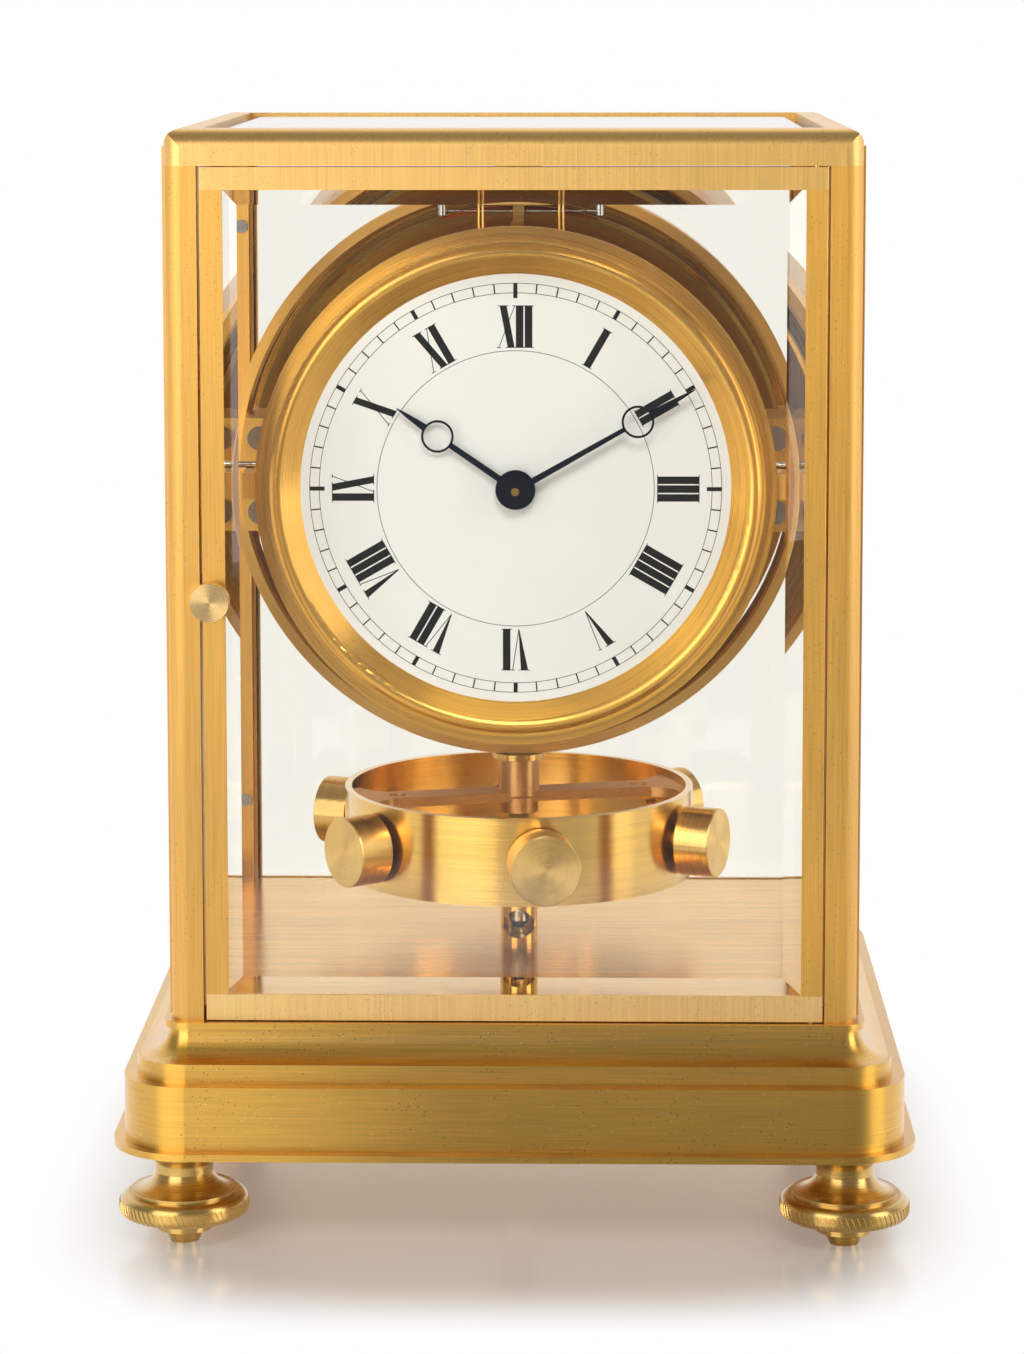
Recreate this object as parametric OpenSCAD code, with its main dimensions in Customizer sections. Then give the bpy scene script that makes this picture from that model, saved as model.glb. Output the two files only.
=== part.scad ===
// Atmospheric clock: a brass and glass case on a moulded base. A slow horizontal balance
// hangs on a thin wire, and a drum with an expansion capsule winds the movement.
// Millimetres. X runs to the right, Y to the back, Z up. The origin lies under the centre
// of the base, in the plane that the feet stand on.

/* [Case] */
// Width of the case over the pillars
case_w = 166; // [162:1:176]
// Depth of the case over the pillars
case_d = 152; // [148:1:166]
// Height of the whole clock
total_h = 270; // [266:1:284]
// Radius of the outer edges of the case
edge_r = 4.2; // [3:0.1:5]
// Width of a pillar, seen from the front or the side
pillar_w = 8; // [7:0.1:9]
// Height of the top frame
top_frame_h = 8.7; // [7:0.1:10]
// Width of the flat strip of the top frame round the top glass
top_strip_w = 9; // [7:0.5:12]

/* [Base] */
// Height of the underside of the base over the table
underside_z = 23.9; // [23:0.1:27]
// Thickness of the bottom plate
bottom_t = 1.7; // [1.4:0.1:2.5]
// Height of the main band of the plinth
band_h = 15.7; // [14:0.1:19]
// Height of the step over the main band
step_h = 4.8; // [3.5:0.1:6]
// Radius of the cove between the step and the lip
cove_r = 6.9; // [5.5:0.1:7.2]
// Thickness of the lip plate that carries the case
lip_t = 1.6; // [1.3:0.1:2.2]
// How far the lip plate stands out from the case
lip_over = 2; // [1.5:0.1:3]
// How far the lip plate stands out over the neck of the cove
cove_in = 1.1; // [0.6:0.1:1.4]
// How far the step stands out from the case
step_over = 8.6; // [8.2:0.1:9.5]
// How far the main band stands out from the case
band_over = 11.8; // [11:0.1:13]
// How far the bottom plate stands out from the case
flange_over = 14.5; // [13.5:0.1:16]
// Thickness of the plinth wall
plinth_wall = 3; // [2:0.1:3.4]
// Thickness of the floor plate inside the case
floor_t = 2.4; // [1.8:0.1:3]

/* [Feet] */
// How far a foot's axis lies in from the side of the case
foot_x = 2.7; // [2:0.1:9]
// How far a foot's axis lies in from the front or the back of the case
foot_y = 1.5; // [1:0.1:8]
// Radius of the knurled rim of a foot
foot_r = 15.6; // [13:0.1:16.5]
// Radius of the neck of a foot
foot_neck_r = 7; // [5.5:0.1:7.4]
// Height of the collar that a foot screws up to
collar_h = 6.4; // [5:0.1:7]
// Radius of the threaded stud of a levelling foot
stud_r = 3; // [2.5:0.1:3.5]
// Travel of a levelling foot
foot_travel = 5; // [3:0.5:6]

/* [Door] */
// Width of a stile and of the top rail of the door
stile_w = 5.4; // [5:0.1:7]
// Height of the bottom rail of the door
low_rail_h = 6.3; // [5.6:0.1:8]
// Width of a stile of the frame at the rear
rear_stile_w = 1.8; // [1.6:0.1:2.4]
// Thickness of the door frame
door_t = 5; // [4.6:0.1:6]
// Gap on the latch side of the door
latch_gap = 0.7; // [0.4:0.1:1]
// Gap on the hinge side and at the top and bottom of the door
hinge_gap = 0.3; // [0.25:0.05:0.5]
// Distance of the hinge axis from the front face
hinge_in = 1.2; // [1.1:0.1:1.5]
// Distance of the hinge axis from the edge of the door
hinge_edge = 3; // [2.8:0.1:3.4]
// Radius of a hinge pin
hinge_pin_r = 0.7; // [0.5:0.05:0.8]
// Width of the bevel round the door glass
bevel_w = 4.2; // [2.5:0.1:6]
// Height of the knob over the table
knob_z = 157.5; // [130:0.5:190]
// Radius of the knob
knob_r = 4.65; // [3.5:0.05:5]
// Length of the knob
knob_len = 4; // [3:0.5:8]

/* [Dial] */
// Height of the dial's centre over the table
dial_z = 180.8; // [178:0.1:183]
// Front face of the dial, measured from the balance axis
dial_front = 44.6; // [44:0.1:46]
// Visible radius of the dial
dial_r = 53; // [48:0.1:54]
// Radius of the flange of the bezel
bezel_r = 64.4; // [62:0.1:65]
// Length of the minute hand
minute_len = 50.6; // [40:0.1:51]
// Length of the hour hand
hour_len = 35.3; // [26:0.1:38]
// Distance from the centre to the hollow circle of the minute hand
minute_eye = 34.5; // [25:0.1:38]
// Distance from the centre to the hollow circle of the hour hand
hour_eye = 23.2; // [15:0.1:25]
// Outer radius of the hollow circles
eye_r = 4; // [3:0.1:5]
// Angle of the minute hand from twelve, clockwise
minute_deg = 60.4; // [0:0.1:360]
// Angle of the hour hand from twelve, clockwise
hour_deg = 304.6; // [0:0.1:360]

/* [Drum] */
// Outer radius of the carrier ring round the drum
ring_r = 73.8; // [73:0.1:74.4]
// Width of the face of the carrier ring
ring_w = 3.4; // [3:0.1:3.8]
// Depth of the carrier ring
ring_d = 12; // [11:0.5:16]
// Outer radius of the drum
drum_r = 71; // [66:0.1:72]
// Depth of the drum
drum_d = 42; // [36:0.5:42.5]
// Radius of the half-round shield plate in front of the balance wire
shield_r = 68; // [66:0.1:68.5]
// Height of the shield plate's straight lower edge over the dial's centre
shield_low = 16.6; // [15:0.1:24]
// Wall of the drum
drum_wall = 1.6; // [1.2:0.1:2.5]
// Radius of the corrugated capsule in the drum
capsule_r = 56; // [46:1:62]

/* [Balance] */
// Outer radius of the balance ring
bal_r = 45.1; // [41:0.1:46]
// Height of the top of the balance ring over the table
bal_top = 98.3; // [96:0.1:100]
// Height of the balance ring
bal_h = 22.2; // [18:0.1:24]
// Thickness of the balance ring
bal_wall = 1.8; // [1.2:0.1:3]
// Radius of a balance weight
weight_r = 8.8; // [6:0.1:9.5]
// Length of a balance weight
weight_len = 9; // [6:0.1:9.5]
// Number of balance weights
weight_n = 6; // [3:1:6]
// Angle of the first weight, from the front towards the right
weight_deg = 8; // [0:1:20]
// Angle of the crossbar, from the right towards the back
bar_deg = 14; // [9:1:19]
// Thickness of the crossbar
bar_t = 2.5; // [2:0.1:4]
// Radius of the collar over the crossbar
collar_r = 5.3; // [4.5:0.1:6]
// Radius of the guide post on the floor
post_r = 4.95; // [4.4:0.05:6]

/* [Hidden] */
$fn = 72;

brass = "#d2a04a";
satin_brass = "#dcae5e";
pale_brass = "#e6c98c";
dark_brass = "#6b4a1c";
steel = "#9a9a9e";
blued_steel = "#1a2436";
enamel = "#f3f2ef";
pane = "#dfe8e6";

fit = 0.05;                 // running clearance of a shaft in its bore
seat = 0.1;                 // clearance round a pane or plate in its seat
air = 0.3;                  // clearance between pieces that pass each other

half_w = case_w / 2;
half_d = case_d / 2;
foot_ax = half_w - foot_x;           // axes of the feet
foot_ay = half_d - foot_y;
corner_x = half_w - edge_r;          // centres of all rounded corners, in plan
corner_y = half_d - edge_r;
band_z = underside_z + bottom_t;
step_z = band_z + band_h;
cove_z = step_z + step_h;
lip_z = cove_z + cove_r;
case_z = lip_z + lip_t;
floor_z = case_z + floor_t;
frame_z = total_h - top_frame_h;     // underside of the top frame
neck_over = lip_over - cove_in;
pane_t = 3.6;                        // thickness of the panes

door_z0 = case_z + hinge_gap;
door_z1 = frame_z - hinge_gap;
door_x0 = -half_w + pillar_w + latch_gap;
door_x1 = half_w - pillar_w - hinge_gap;
door_back = -half_d + door_t;
hinge_x = door_x1 - hinge_edge;
hinge_y = -half_d + hinge_in;
rebate = 2;                          // depth of the seats of the panes
knob_in = 1.9;                       // axis of the knob, from the edge of the door
knob_x = door_x0 + knob_in;
open_x0 = door_x0 + stile_w;         // opening of the door
open_x1 = door_x1 - stile_w;
open_z0 = door_z0 + low_rail_h;
open_z1 = door_z1 - stile_w;

dial_y = -dial_front;
dial_t = 1.4;
plate_t = 2;
shield_t = 4;
shield_y = -12.5;                    // front face of the shield plate
cover_t = 3;
bridge_t = 5;
bridge_h = 16;
bridge_y = half_d - pillar_w - bridge_t;
drum_back = bridge_y - cover_t;
drum_y = drum_back - drum_d;         // front face of the drum
ring_y = -4.5;                       // front face of the carrier ring
block_h = 28.8;                      // height of the bracket blocks
block_y = -16;                       // front face of the bracket blocks
block_len = 12.4;
block_x = ring_r - ring_w - block_len;   // inner end of the bracket blocks
lug_h = 6.5;
lug_x = ring_r - ring_w - 2.7;       // outer end of the lugs that carry the bezel
bezel_back = dial_y + dial_t + 3.2;

bar_top = bal_top - 1.5;
bal_z = bal_top - bal_h / 2;
post_h = 13;
post_wall = 1.05;
spindle_r = 2.6;
wire_r = 0.35;
tube_r = 3.1;

function turn(a) = [sin(a), cos(a)];

// A rectangle with its corners rounded round the case's corner centres, grown by over
module plan(over) {
    r = edge_r + over;
    square([2 * (corner_x + r), 2 * corner_y], center = true);
    square([2 * corner_x, 2 * (corner_y + r)], center = true);
    for (x = [-1, 1], y = [-1, 1]) translate([x * corner_x, y * corner_y]) circle(r);
}

// A plate of that outline from height z, t thick
module slab(over, z, t) { translate([0, 0, z]) linear_extrude(t) plan(over); }

// A rounded rectangle centred on the origin
module rounded(w, h, r) {
    square([w - 2 * r, h], center = true);
    square([w, h - 2 * r], center = true);
    for (x = [-1, 1], y = [-1, 1]) translate([x * (w / 2 - r), y * (h / 2 - r)]) circle(r);
}

// The outline of the plinth right of a corner centre: band, step, cove and neck
module plinth_profile(inner) {
    r_band = edge_r + band_over;
    r_step = edge_r + step_over;
    r_neck = edge_r + neck_over;
    difference() {
        polygon([[-inner, band_z], [r_band, band_z], [r_band, step_z], [r_step, step_z],
            [r_step, cove_z], [r_neck + cove_r, cove_z], [r_neck, lip_z], [-inner, lip_z]]);
        translate([r_neck + cove_r, lip_z]) circle(cove_r);
    }
}

// The solid plinth: two crossed bars of the profile and four turned corners
module plinth_solid() {
    for (s = [-1, 1]) {
        mirror([s < 0 ? 1 : 0, 0, 0]) translate([corner_x, corner_y, 0]) rotate([90, 0, 0])
            linear_extrude(2 * corner_y) plinth_profile(corner_x + 1);
        mirror([0, s < 0 ? 1 : 0, 0]) translate([-corner_x, corner_y, 0])
            rotate([90, 0, 90]) linear_extrude(2 * corner_x) plinth_profile(corner_y + 1);
        for (y = [-1, 1]) translate([s * corner_x, y * corner_y, 0])
            rotate_extrude() plinth_profile(0);
    }
}

module foot_places() { for (x = [-1, 1], y = [-1, 1]) translate([x * foot_ax, y * foot_ay]) children(); }

boss_r = stud_r + 4;
module base_plinth() color(brass) {
    low_top = step_z - plinth_wall;
    high_top = lip_z - plinth_wall;
    difference() {
        plinth_solid();
        difference() {
            union() {
                slab(band_over - plinth_wall, band_z - 1, low_top - band_z + 1);
                slab(neck_over - plinth_wall - 1, band_z - 1, high_top - band_z + 1);
            }
            translate([0, 0, band_z - 1]) linear_extrude(high_top) foot_places() circle(boss_r);
        }
        translate([0, 0, band_z - 1]) linear_extrude(stud_top - band_z + 2)
            foot_places() circle(stud_r + air);
        cylinder(r = sleeve_r + fit, h = total_h);
    }
}

module lip_plate() color(satin_brass) difference() {
    slab(lip_over, lip_z, lip_t);
    translate([0, 0, lip_z - 1]) cylinder(r = sleeve_r + fit, h = lip_t + 2);
}

module bottom_plate() color(satin_brass) difference() {
    slab(flange_over, underside_z, bottom_t);
    translate([0, 0, underside_z - 1]) linear_extrude(bottom_t + 2) {
        foot_places() circle(stud_r + air);
        circle(lever_hub_r + fit);
    }
}

// The door's rear corner turns past the front edge of the floor plate
floor_front = hinge_y + sqrt(pow(hinge_edge, 2) + pow(door_t - hinge_in, 2)) + air;
module floor_plate() color(pale_brass) difference() {
    translate([0, 0, case_z]) linear_extrude(floor_t) {
        translate([-half_w + pillar_w + seat, floor_front])
            square([2 * (half_w - pillar_w - seat), half_d - door_t - seat - floor_front]);
        square([2 * (half_w - pane_t - seat), 2 * (half_d - pillar_w - seat)], center = true);
    }
    translate([0, 0, case_z - 1]) cylinder(r = sleeve_r + fit, h = floor_t + 2);
}

// Front feet. The collar is fixed under the base, and the foot screws out of it.
collar_z = underside_z - collar_h;
module foot_collars() color(satin_brass)
    for (side = [-1, 1]) translate([side * foot_ax, -foot_ay, collar_z]) rotate_extrude() difference() {
        translate([stud_r + air, 0]) square([foot_neck_r + 3.2 - stud_r - air, collar_h]);
        translate([foot_neck_r + 3.4, collar_h - 5.1]) circle(3.2);
        translate([foot_neck_r + 0.2, -1]) square([6, collar_h - 5.1 + 1]);
    }

tip_top = 3.2;
disc_z = 6.3;                        // underside of the knurled disc
rim_h = 5.9;
rim_edge = 2.1;
shelf_r = foot_r - 2.8;
shelf_up = 0.9;
flare_r = shelf_r - foot_neck_r;     // radius across the flare between neck and shelf

module foot_profile() {
    rim_z = disc_z + rim_h;
    flare_z = rim_z + shelf_up;
    difference() {
        union() {
            polygon([[0, tip_top], [5, tip_top], [5, disc_z], [foot_r - rim_edge - 1, disc_z],
                [foot_r - rim_edge, disc_z + 0.3], [foot_r, disc_z + 0.3 + rim_edge],
                [foot_r, rim_z - rim_edge], [foot_r - rim_edge, rim_z], [0, rim_z]]);
            translate([foot_r - rim_edge, disc_z + 0.3 + rim_edge]) circle(rim_edge);
            translate([foot_r - rim_edge, rim_z - rim_edge]) circle(rim_edge);
            translate([0, disc_z]) square([shelf_r, flare_z - disc_z]);
            square([foot_neck_r, collar_z - fit]);
            flare_top(flare_z);
        }
        translate([-1, -1]) square([foot_r + 2, tip_top + 1]);
    }
}

// The concave sweep from the shelf up to the neck: a low triangle less a wide circle
module flare_top(z) {
    rise = collar_z - fit - z;
    big = (flare_r * flare_r + rise * rise) / (2 * rise);
    intersection() {
        difference() {
            translate([0, z]) square([shelf_r, rise]);
            translate([shelf_r, z + big]) circle(big);
        }
        square([shelf_r, collar_z]);
    }
}

module turned_foot() {
    difference() {
        rotate_extrude() foot_profile();
        translate([0, 0, tip_top - 1]) cylinder(r = 2 + fit, h = 4);
    }
}

stud_top = lip_z - plinth_wall - foot_travel / 2 - 2;
module levelling_foot(side) color(brass) translate([side * foot_ax, -foot_ay, 0]) {
    turned_foot();
    translate([0, 0, collar_z - 1]) cylinder(r = stud_r, h = stud_top - collar_z + 1);
}
module levelling_foot_left() levelling_foot(-1);
module levelling_foot_right() levelling_foot(1);

module foot_tip(side) color(brass) translate([side * foot_ax, -foot_ay, 0]) {
    cylinder(r1 = 3.7, r2 = 4.8, h = tip_top);
    cylinder(r = 2, h = tip_top + 2.5);
}
module foot_tip_left() foot_tip(-1);
module foot_tip_right() foot_tip(1);

// Rear feet: the same turning in one piece with its stud, tight against the base
module rear_feet() color(brass) for (side = [-1, 1]) translate([side * foot_ax, foot_ay, 0])
    rotate_extrude() {
        foot_profile();
        translate([0, tip_top]) square([stud_r, underside_z + 8 - tip_top]);
        polygon([[0, 0], [3.7, 0], [4.8, tip_top], [0, tip_top]]);
        translate([0, tip_top]) square([foot_neck_r + 0.2, underside_z - tip_top]);
    }

// The outside of the case above the base, rounded on every outer edge and mitred
module case_form(z0, z1) {
    h = total_h - z0;
    intersection() {
        translate([0, 0, z0]) linear_extrude(z1 - z0) plan(0);
        rotate([90, 0, 0]) linear_extrude(case_d + 2, center = true) front_outline(half_w, z0);
        rotate([90, 0, 90]) linear_extrude(case_w + 2, center = true) front_outline(half_d, z0);
    }
}
module front_outline(half, z0) {
    translate([-half, z0]) square([2 * half, total_h - edge_r - z0]);
    translate([edge_r - half, z0]) square([2 * (half - edge_r), total_h - z0]);
    for (s = [-1, 1]) translate([s * (half - edge_r), total_h - edge_r]) circle(edge_r);
}

blade_len = 5.6;
blade_w = 3.2;
latch_z0 = knob_z - blade_w / 2 - air;
latch_z1 = knob_z + blade_len;
latch_y = door_back + 0.4;
latch_t = 1.2;
module pillar(sx, sy) color(satin_brass) difference() {
    intersection() {
        case_form(case_z, frame_z);
        translate([sx * (half_w - pillar_w / 2), sy * (half_d - pillar_w / 2), 0])
            translate([-pillar_w / 2, -pillar_w / 2, case_z]) cube([pillar_w, pillar_w, frame_z - case_z]);
    }
    if (sx < 0 && sy < 0) translate([knob_x - blade_len - 1, latch_y - air, latch_z0])
        cube([blade_len, latch_t + 2 * air, latch_z1 - latch_z0]);
}
module front_pillar_left() pillar(-1, -1);
module front_pillar_right() pillar(1, -1);
module rear_pillar_left() pillar(-1, 1);
module rear_pillar_right() pillar(1, 1);

top_pane_x = half_w - top_strip_w;
top_pane_y = half_d - top_strip_w;
module top_frame() color(satin_brass) difference() {
    case_form(frame_z, total_h);
    translate([0, 0, frame_z - 1]) linear_extrude(top_frame_h + 2)
        square([2 * (top_pane_x - rebate), 2 * (top_pane_y - rebate)], center = true);
    translate([0, 0, total_h - pane_t - 0.6]) linear_extrude(pane_t + 2)
        square([2 * (top_pane_x + seat), 2 * (top_pane_y + seat)], center = true);
    translate([hinge_x, hinge_y, frame_z - 1]) cylinder(r = hinge_pin_r, h = pin_in + 1);
}

// A bevelled pane: w wide, h high, t thick, lying in XY with its bevel on top
module bevelled(w, h, t, edge_t, bevel) {
    intersection() {
        rotate([90, 0, 0]) linear_extrude(h, center = true) pane_profile(w, t, edge_t, bevel);
        rotate([90, 0, 90]) linear_extrude(w, center = true) pane_profile(h, t, edge_t, bevel);
    }
}
module pane_profile(w, t, edge_t, bevel) {
    polygon([[-w / 2, 0], [w / 2, 0], [w / 2, edge_t], [w / 2 - bevel, t], [bevel - w / 2, t],
        [-w / 2, edge_t]]);
}
pane_edge = 1.8;
module top_glass() color(pane, 0.35) translate([0, 0, total_h - pane_t - 0.6])
    bevelled(2 * top_pane_x, 2 * top_pane_y, pane_t, pane_edge, bevel_w);

side_pane_y = half_d - pillar_w - seat;
side_pane_z0 = case_z + seat;
side_pane_z1 = frame_z - seat;
module side_glass(s) color(pane, 0.35)
    translate([s * (half_w - pane_t), 0, (side_pane_z0 + side_pane_z1) / 2])
        rotate([0, s * 90, 0])
            bevelled(side_pane_z1 - side_pane_z0, 2 * side_pane_y, pane_t, pane_edge, bevel_w);
module side_glass_left() side_glass(-1);
module side_glass_right() side_glass(1);

bezel_t = 0.5;
module side_bezel(s) color(satin_brass)
    translate([s * half_w + (s < 0 ? -bezel_t : 0), 0, 0]) rotate([90, 0, 90]) linear_extrude(bezel_t)
        difference() {
            translate([-corner_y, case_z + 1]) square([2 * corner_y, total_h - edge_r - case_z - 1]);
            translate([-half_d + pillar_w + stile_w / 2, case_z + 8])
                square([case_d - 2 * pillar_w - stile_w, frame_z - stile_w - case_z - 8]);
        }
module side_bezel_left() side_bezel(-1);
module side_bezel_right() side_bezel(1);

// Rear: a fixed glazed frame between the rear pillars
rear_x = half_w - pillar_w - seat;
rear_open_x = rear_x - rear_stile_w;
rear_lap = 1;                        // depth of the seat of the rear pane
module rear_frame() color(satin_brass) difference() {
    translate([-rear_x, half_d - door_t, case_z + seat])
        cube([2 * rear_x, door_t, frame_z - case_z - 2 * seat]);
    translate([-rear_open_x, half_d - door_t - 1, floor_z])
        cube([2 * rear_open_x, door_t + 2, open_z1 - floor_z]);
    translate([-rear_open_x - rear_lap, half_d - door_t - 1, floor_z - rear_lap])
        cube([2 * (rear_open_x + rear_lap), pane_t + 1 + seat, open_z1 - floor_z + 2 * rear_lap]);
}
module rear_glass() color(pane, 0.35)
    translate([0, half_d - door_t, (floor_z + open_z1) / 2]) rotate([-90, 0, 0])
        bevelled(2 * (rear_open_x + rear_lap - seat), open_z1 - floor_z + 2 * (rear_lap - seat),
            pane_t, pane_t - 0.5, 0.5);

// Door: rails over the full width, stiles between them, and a bevelled pane in a rebate
door_w = door_x1 - door_x0;
glass_in = 0.9;                      // how far the pane lies behind the door's front
module door_solid(z0, z1) {
    edge = 0.8;
    difference() {
        translate([0, 0, z0]) linear_extrude(z1 - z0) {
            translate([door_x0, -half_d + edge]) square([door_w, door_t - edge]);
            translate([door_x0, -half_d]) square([door_w - edge, door_t]);
            translate([door_x1 - edge, -half_d + edge]) circle(edge);
        }
        translate([open_x0, -half_d - 1, open_z0])
            cube([open_x1 - open_x0, door_t + 2, open_z1 - open_z0]);
        translate([open_x0 - rebate, -half_d + glass_in, open_z0 - rebate])
            cube([open_x1 - open_x0 + 2 * rebate, door_t, open_z1 - open_z0 + 2 * rebate]);
    }
}
pin_in = 3;
module door_bores() { translate([hinge_x, hinge_y, 0]) cylinder(r = hinge_pin_r + fit, h = total_h); }
module door_rail(z0, z1) color(satin_brass) difference() { door_solid(z0, z1); door_bores(); }
module door_top_rail() door_rail(open_z1, door_z1);
module door_bottom_rail() door_rail(door_z0, open_z0);
module door_stile(x0) color(satin_brass) intersection() {
    door_solid(open_z0, open_z1);
    translate([x0, -half_d - 1, door_z0]) cube([stile_w, door_t + 2, door_z1 - door_z0]);
}
module door_hinge_stile() door_stile(door_x1 - stile_w);
module door_latch_stile() difference() {
    door_stile(door_x0);
    translate([knob_x, -half_d - 1, knob_z]) rotate([-90, 0, 0]) cylinder(r = 1.2 + fit, h = door_t + 2);
}
// The pane has play in its rebate, and lies a little to the left and high in it
glass_play = 0.7;
glass_lap = rebate - glass_play;
module door_glass() color(pane, 0.35)
    translate([(open_x0 + open_x1) / 2 - 0.5, -half_d + glass_in + 0.1 + pane_t,
        (open_z0 + open_z1) / 2 + 0.35]) rotate([90, 0, 0])
            bevelled(open_x1 - open_x0 + 2 * glass_lap, open_z1 - open_z0 + 2 * glass_lap,
                pane_t, pane_edge, bevel_w + 1);
module door_hinge_pins() color(brass) {
    translate([hinge_x, hinge_y, frame_z - pin_in]) cylinder(r = hinge_pin_r, h = 2 * pin_in);
    translate([hinge_x, hinge_y, case_z]) cylinder(r = hinge_pin_r, h = pin_in + hinge_gap);
}
// The knob, its spindle and the latch blade, which points up while the door is free
module door_knob() color(brass) {
    translate([knob_x, -half_d - knob_len - 0.1, knob_z]) rotate([-90, 0, 0]) {
        cylinder(r = knob_r, h = knob_len);
        cylinder(r = 1.2, h = knob_len + 0.1 + door_t + 0.4 + latch_t);
    }
    translate([knob_x - blade_w / 2, latch_y, knob_z - blade_w / 2])
        cube([blade_w, latch_t, blade_w / 2 + blade_len]);
}

/* The drum and its mounting. turned(y) lays a turning on the dial's axis, pointing back. */
module turned(y) { translate([0, y, dial_z]) rotate([-90, 0, 0]) children(); }
module at_dial(x, z, y) { translate([x, y, dial_z + z]) rotate([-90, 0, 0]) children(); }

bridge_screw_x = drum_r - 21;
module rear_bridge() color(satin_brass) difference() {
    translate([-half_w + pane_t + air, bridge_y, dial_z - bridge_h / 2])
        cube([case_w - 2 * (pane_t + air), bridge_t, bridge_h]);
    turned(bridge_y - 1) for (s = [-1, 1]) translate([s * bridge_screw_x, 0, 0])
        cylinder(r = 1.5, h = bridge_t + 2);
}

module carrier_ring() color(pale_brass) difference() {
    turned(ring_y) rotate_extrude() difference() {
        translate([ring_r - ring_w, 0]) square([ring_w, ring_d]);
        translate([ring_r - ring_w - 1, -0.01]) polygon([[0, 0], [1.8, 0], [0, 1.8]]);
    }
    cylinder(r = tube_r + fit, h = total_h);
}

module drum_housing() color(brass) turned(drum_y) difference() {
    cylinder(r = drum_r, h = drum_d);
    translate([0, 0, drum_wall]) cylinder(r = drum_r - drum_wall, h = drum_d);
}
module drum_cover() color(satin_brass) turned(drum_back) union() {
    cylinder(r = drum_r, h = 1.6);
    cylinder(r = drum_r - 8, h = cover_t);
    translate([0, 0, -2]) difference() {
        cylinder(r = drum_r - drum_wall - seat, h = 3);
        translate([0, 0, -1]) cylinder(r = drum_r - drum_wall - 2.5, h = 3);
    }
}

// The corrugated capsule: stacked folds between the drum's cover and the moving plate
fold_n = 7;
fold_pitch = 3.6;
capsule_len = fold_n * fold_pitch;
module expansion_capsule() color(pale_brass) turned(drum_back) mirror([0, 0, 1])
    rotate_extrude() union() {
        square([capsule_r - 5, capsule_len]);
        for (i = [0:fold_n - 1]) translate([capsule_r - 5, (i + 0.5) * fold_pitch])
            square([10, fold_pitch * 0.6], center = true);
    }
module capsule_plate() color(steel)
    turned(drum_back - capsule_len - 2.05) cylinder(r = capsule_r - 2, h = 2);

module shield_plate() color(dark_brass) intersection() {
    turned(shield_y) union() {
        cylinder(r1 = shield_r - 1, r2 = shield_r, h = 1);
        translate([0, 0, 1]) cylinder(r = shield_r, h = shield_t - 1);
    }
    translate([-shield_r, shield_y - 1, dial_z + shield_low]) cube([2 * shield_r, shield_t + 2, shield_r]);
}

// A bracket block joins the carrier ring, the drum and the shield plate. Its lug reaches
// forward to the flange of the bezel.
module bracket(s) color(satin_brass) {
    difference() {
        intersection() {
            translate([s > 0 ? block_x : -block_x - block_len - 1, block_y, dial_z - block_h / 2])
                cube([block_len + 1, drum_y - block_y, block_h]);
            turned(block_y) cylinder(r = ring_r - ring_w, h = 60);
        }
        bracket_screw_places(s) translate([0, 0, -1]) cylinder(r = 1.5, h = 7);
    }
    translate([s > 0 ? lug_in : -lug_x, bezel_back, dial_z - lug_h / 2])
        cube([lug_x - lug_in, block_y - bezel_back, lug_h]);
}
lug_in = dial_r - 0.3;
module bracket_screw_places(s) {
    for (z = [-1, 1]) translate([s * (block_x + 7.3), block_y, dial_z + z * (block_h / 2 - 5)])
        rotate([-90, 0, 0]) children();
}
module bracket_left() bracket(-1);
module bracket_right() bracket(1);

module slotted_screw(r, head_t, shank_r, shank) {
    difference() {
        translate([0, 0, -head_t]) cylinder(r = r, h = head_t);
        translate([-r - 1, -r * 0.14, -head_t - 1]) cube([2 * r + 2, r * 0.28, 1 + head_t * 0.45]);
    }
    translate([0, 0, -0.1]) cylinder(r = shank_r, h = shank + 0.1);
}
module fixing_screws() color(steel) {
    for (s = [-1, 1]) bracket_screw_places(s)
        rotate([0, 0, 35 * s + 60]) slotted_screw(3.05, 1.3, 1.5, 5.5);
    for (s = [-1, 1], z = [floor_z + 22.8, frame_z - 22.2])
        translate([s * (half_w - 6), half_d - pillar_w, z])
        rotate([-90, 0, 0]) rotate([0, 0, 40]) slotted_screw(1.8, 0.8, 0.8, 0);
    for (s = [-1, 1]) translate([s * (lug_x - 7), (bezel_back + block_y) / 2, dial_z + lug_h / 2 + 0.8])
        rotate([0, s * 90, 0]) cylinder(r = 0.8, h = 9);
    turned(half_d - pillar_w) for (s = [-1, 1]) translate([s * bridge_screw_x, 0, 0])
        mirror([0, 0, 1]) slotted_screw(3, 1.5, 1.5, bridge_t);
    stay_pins(0.95, 6.2);
    translate([susp_dx - stay_x, front_y + 0.8, susp_z - 3.2]) rotate([0, 90, 0])
        cylinder(r = 0.12, h = 2 * stay_x);
}

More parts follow.
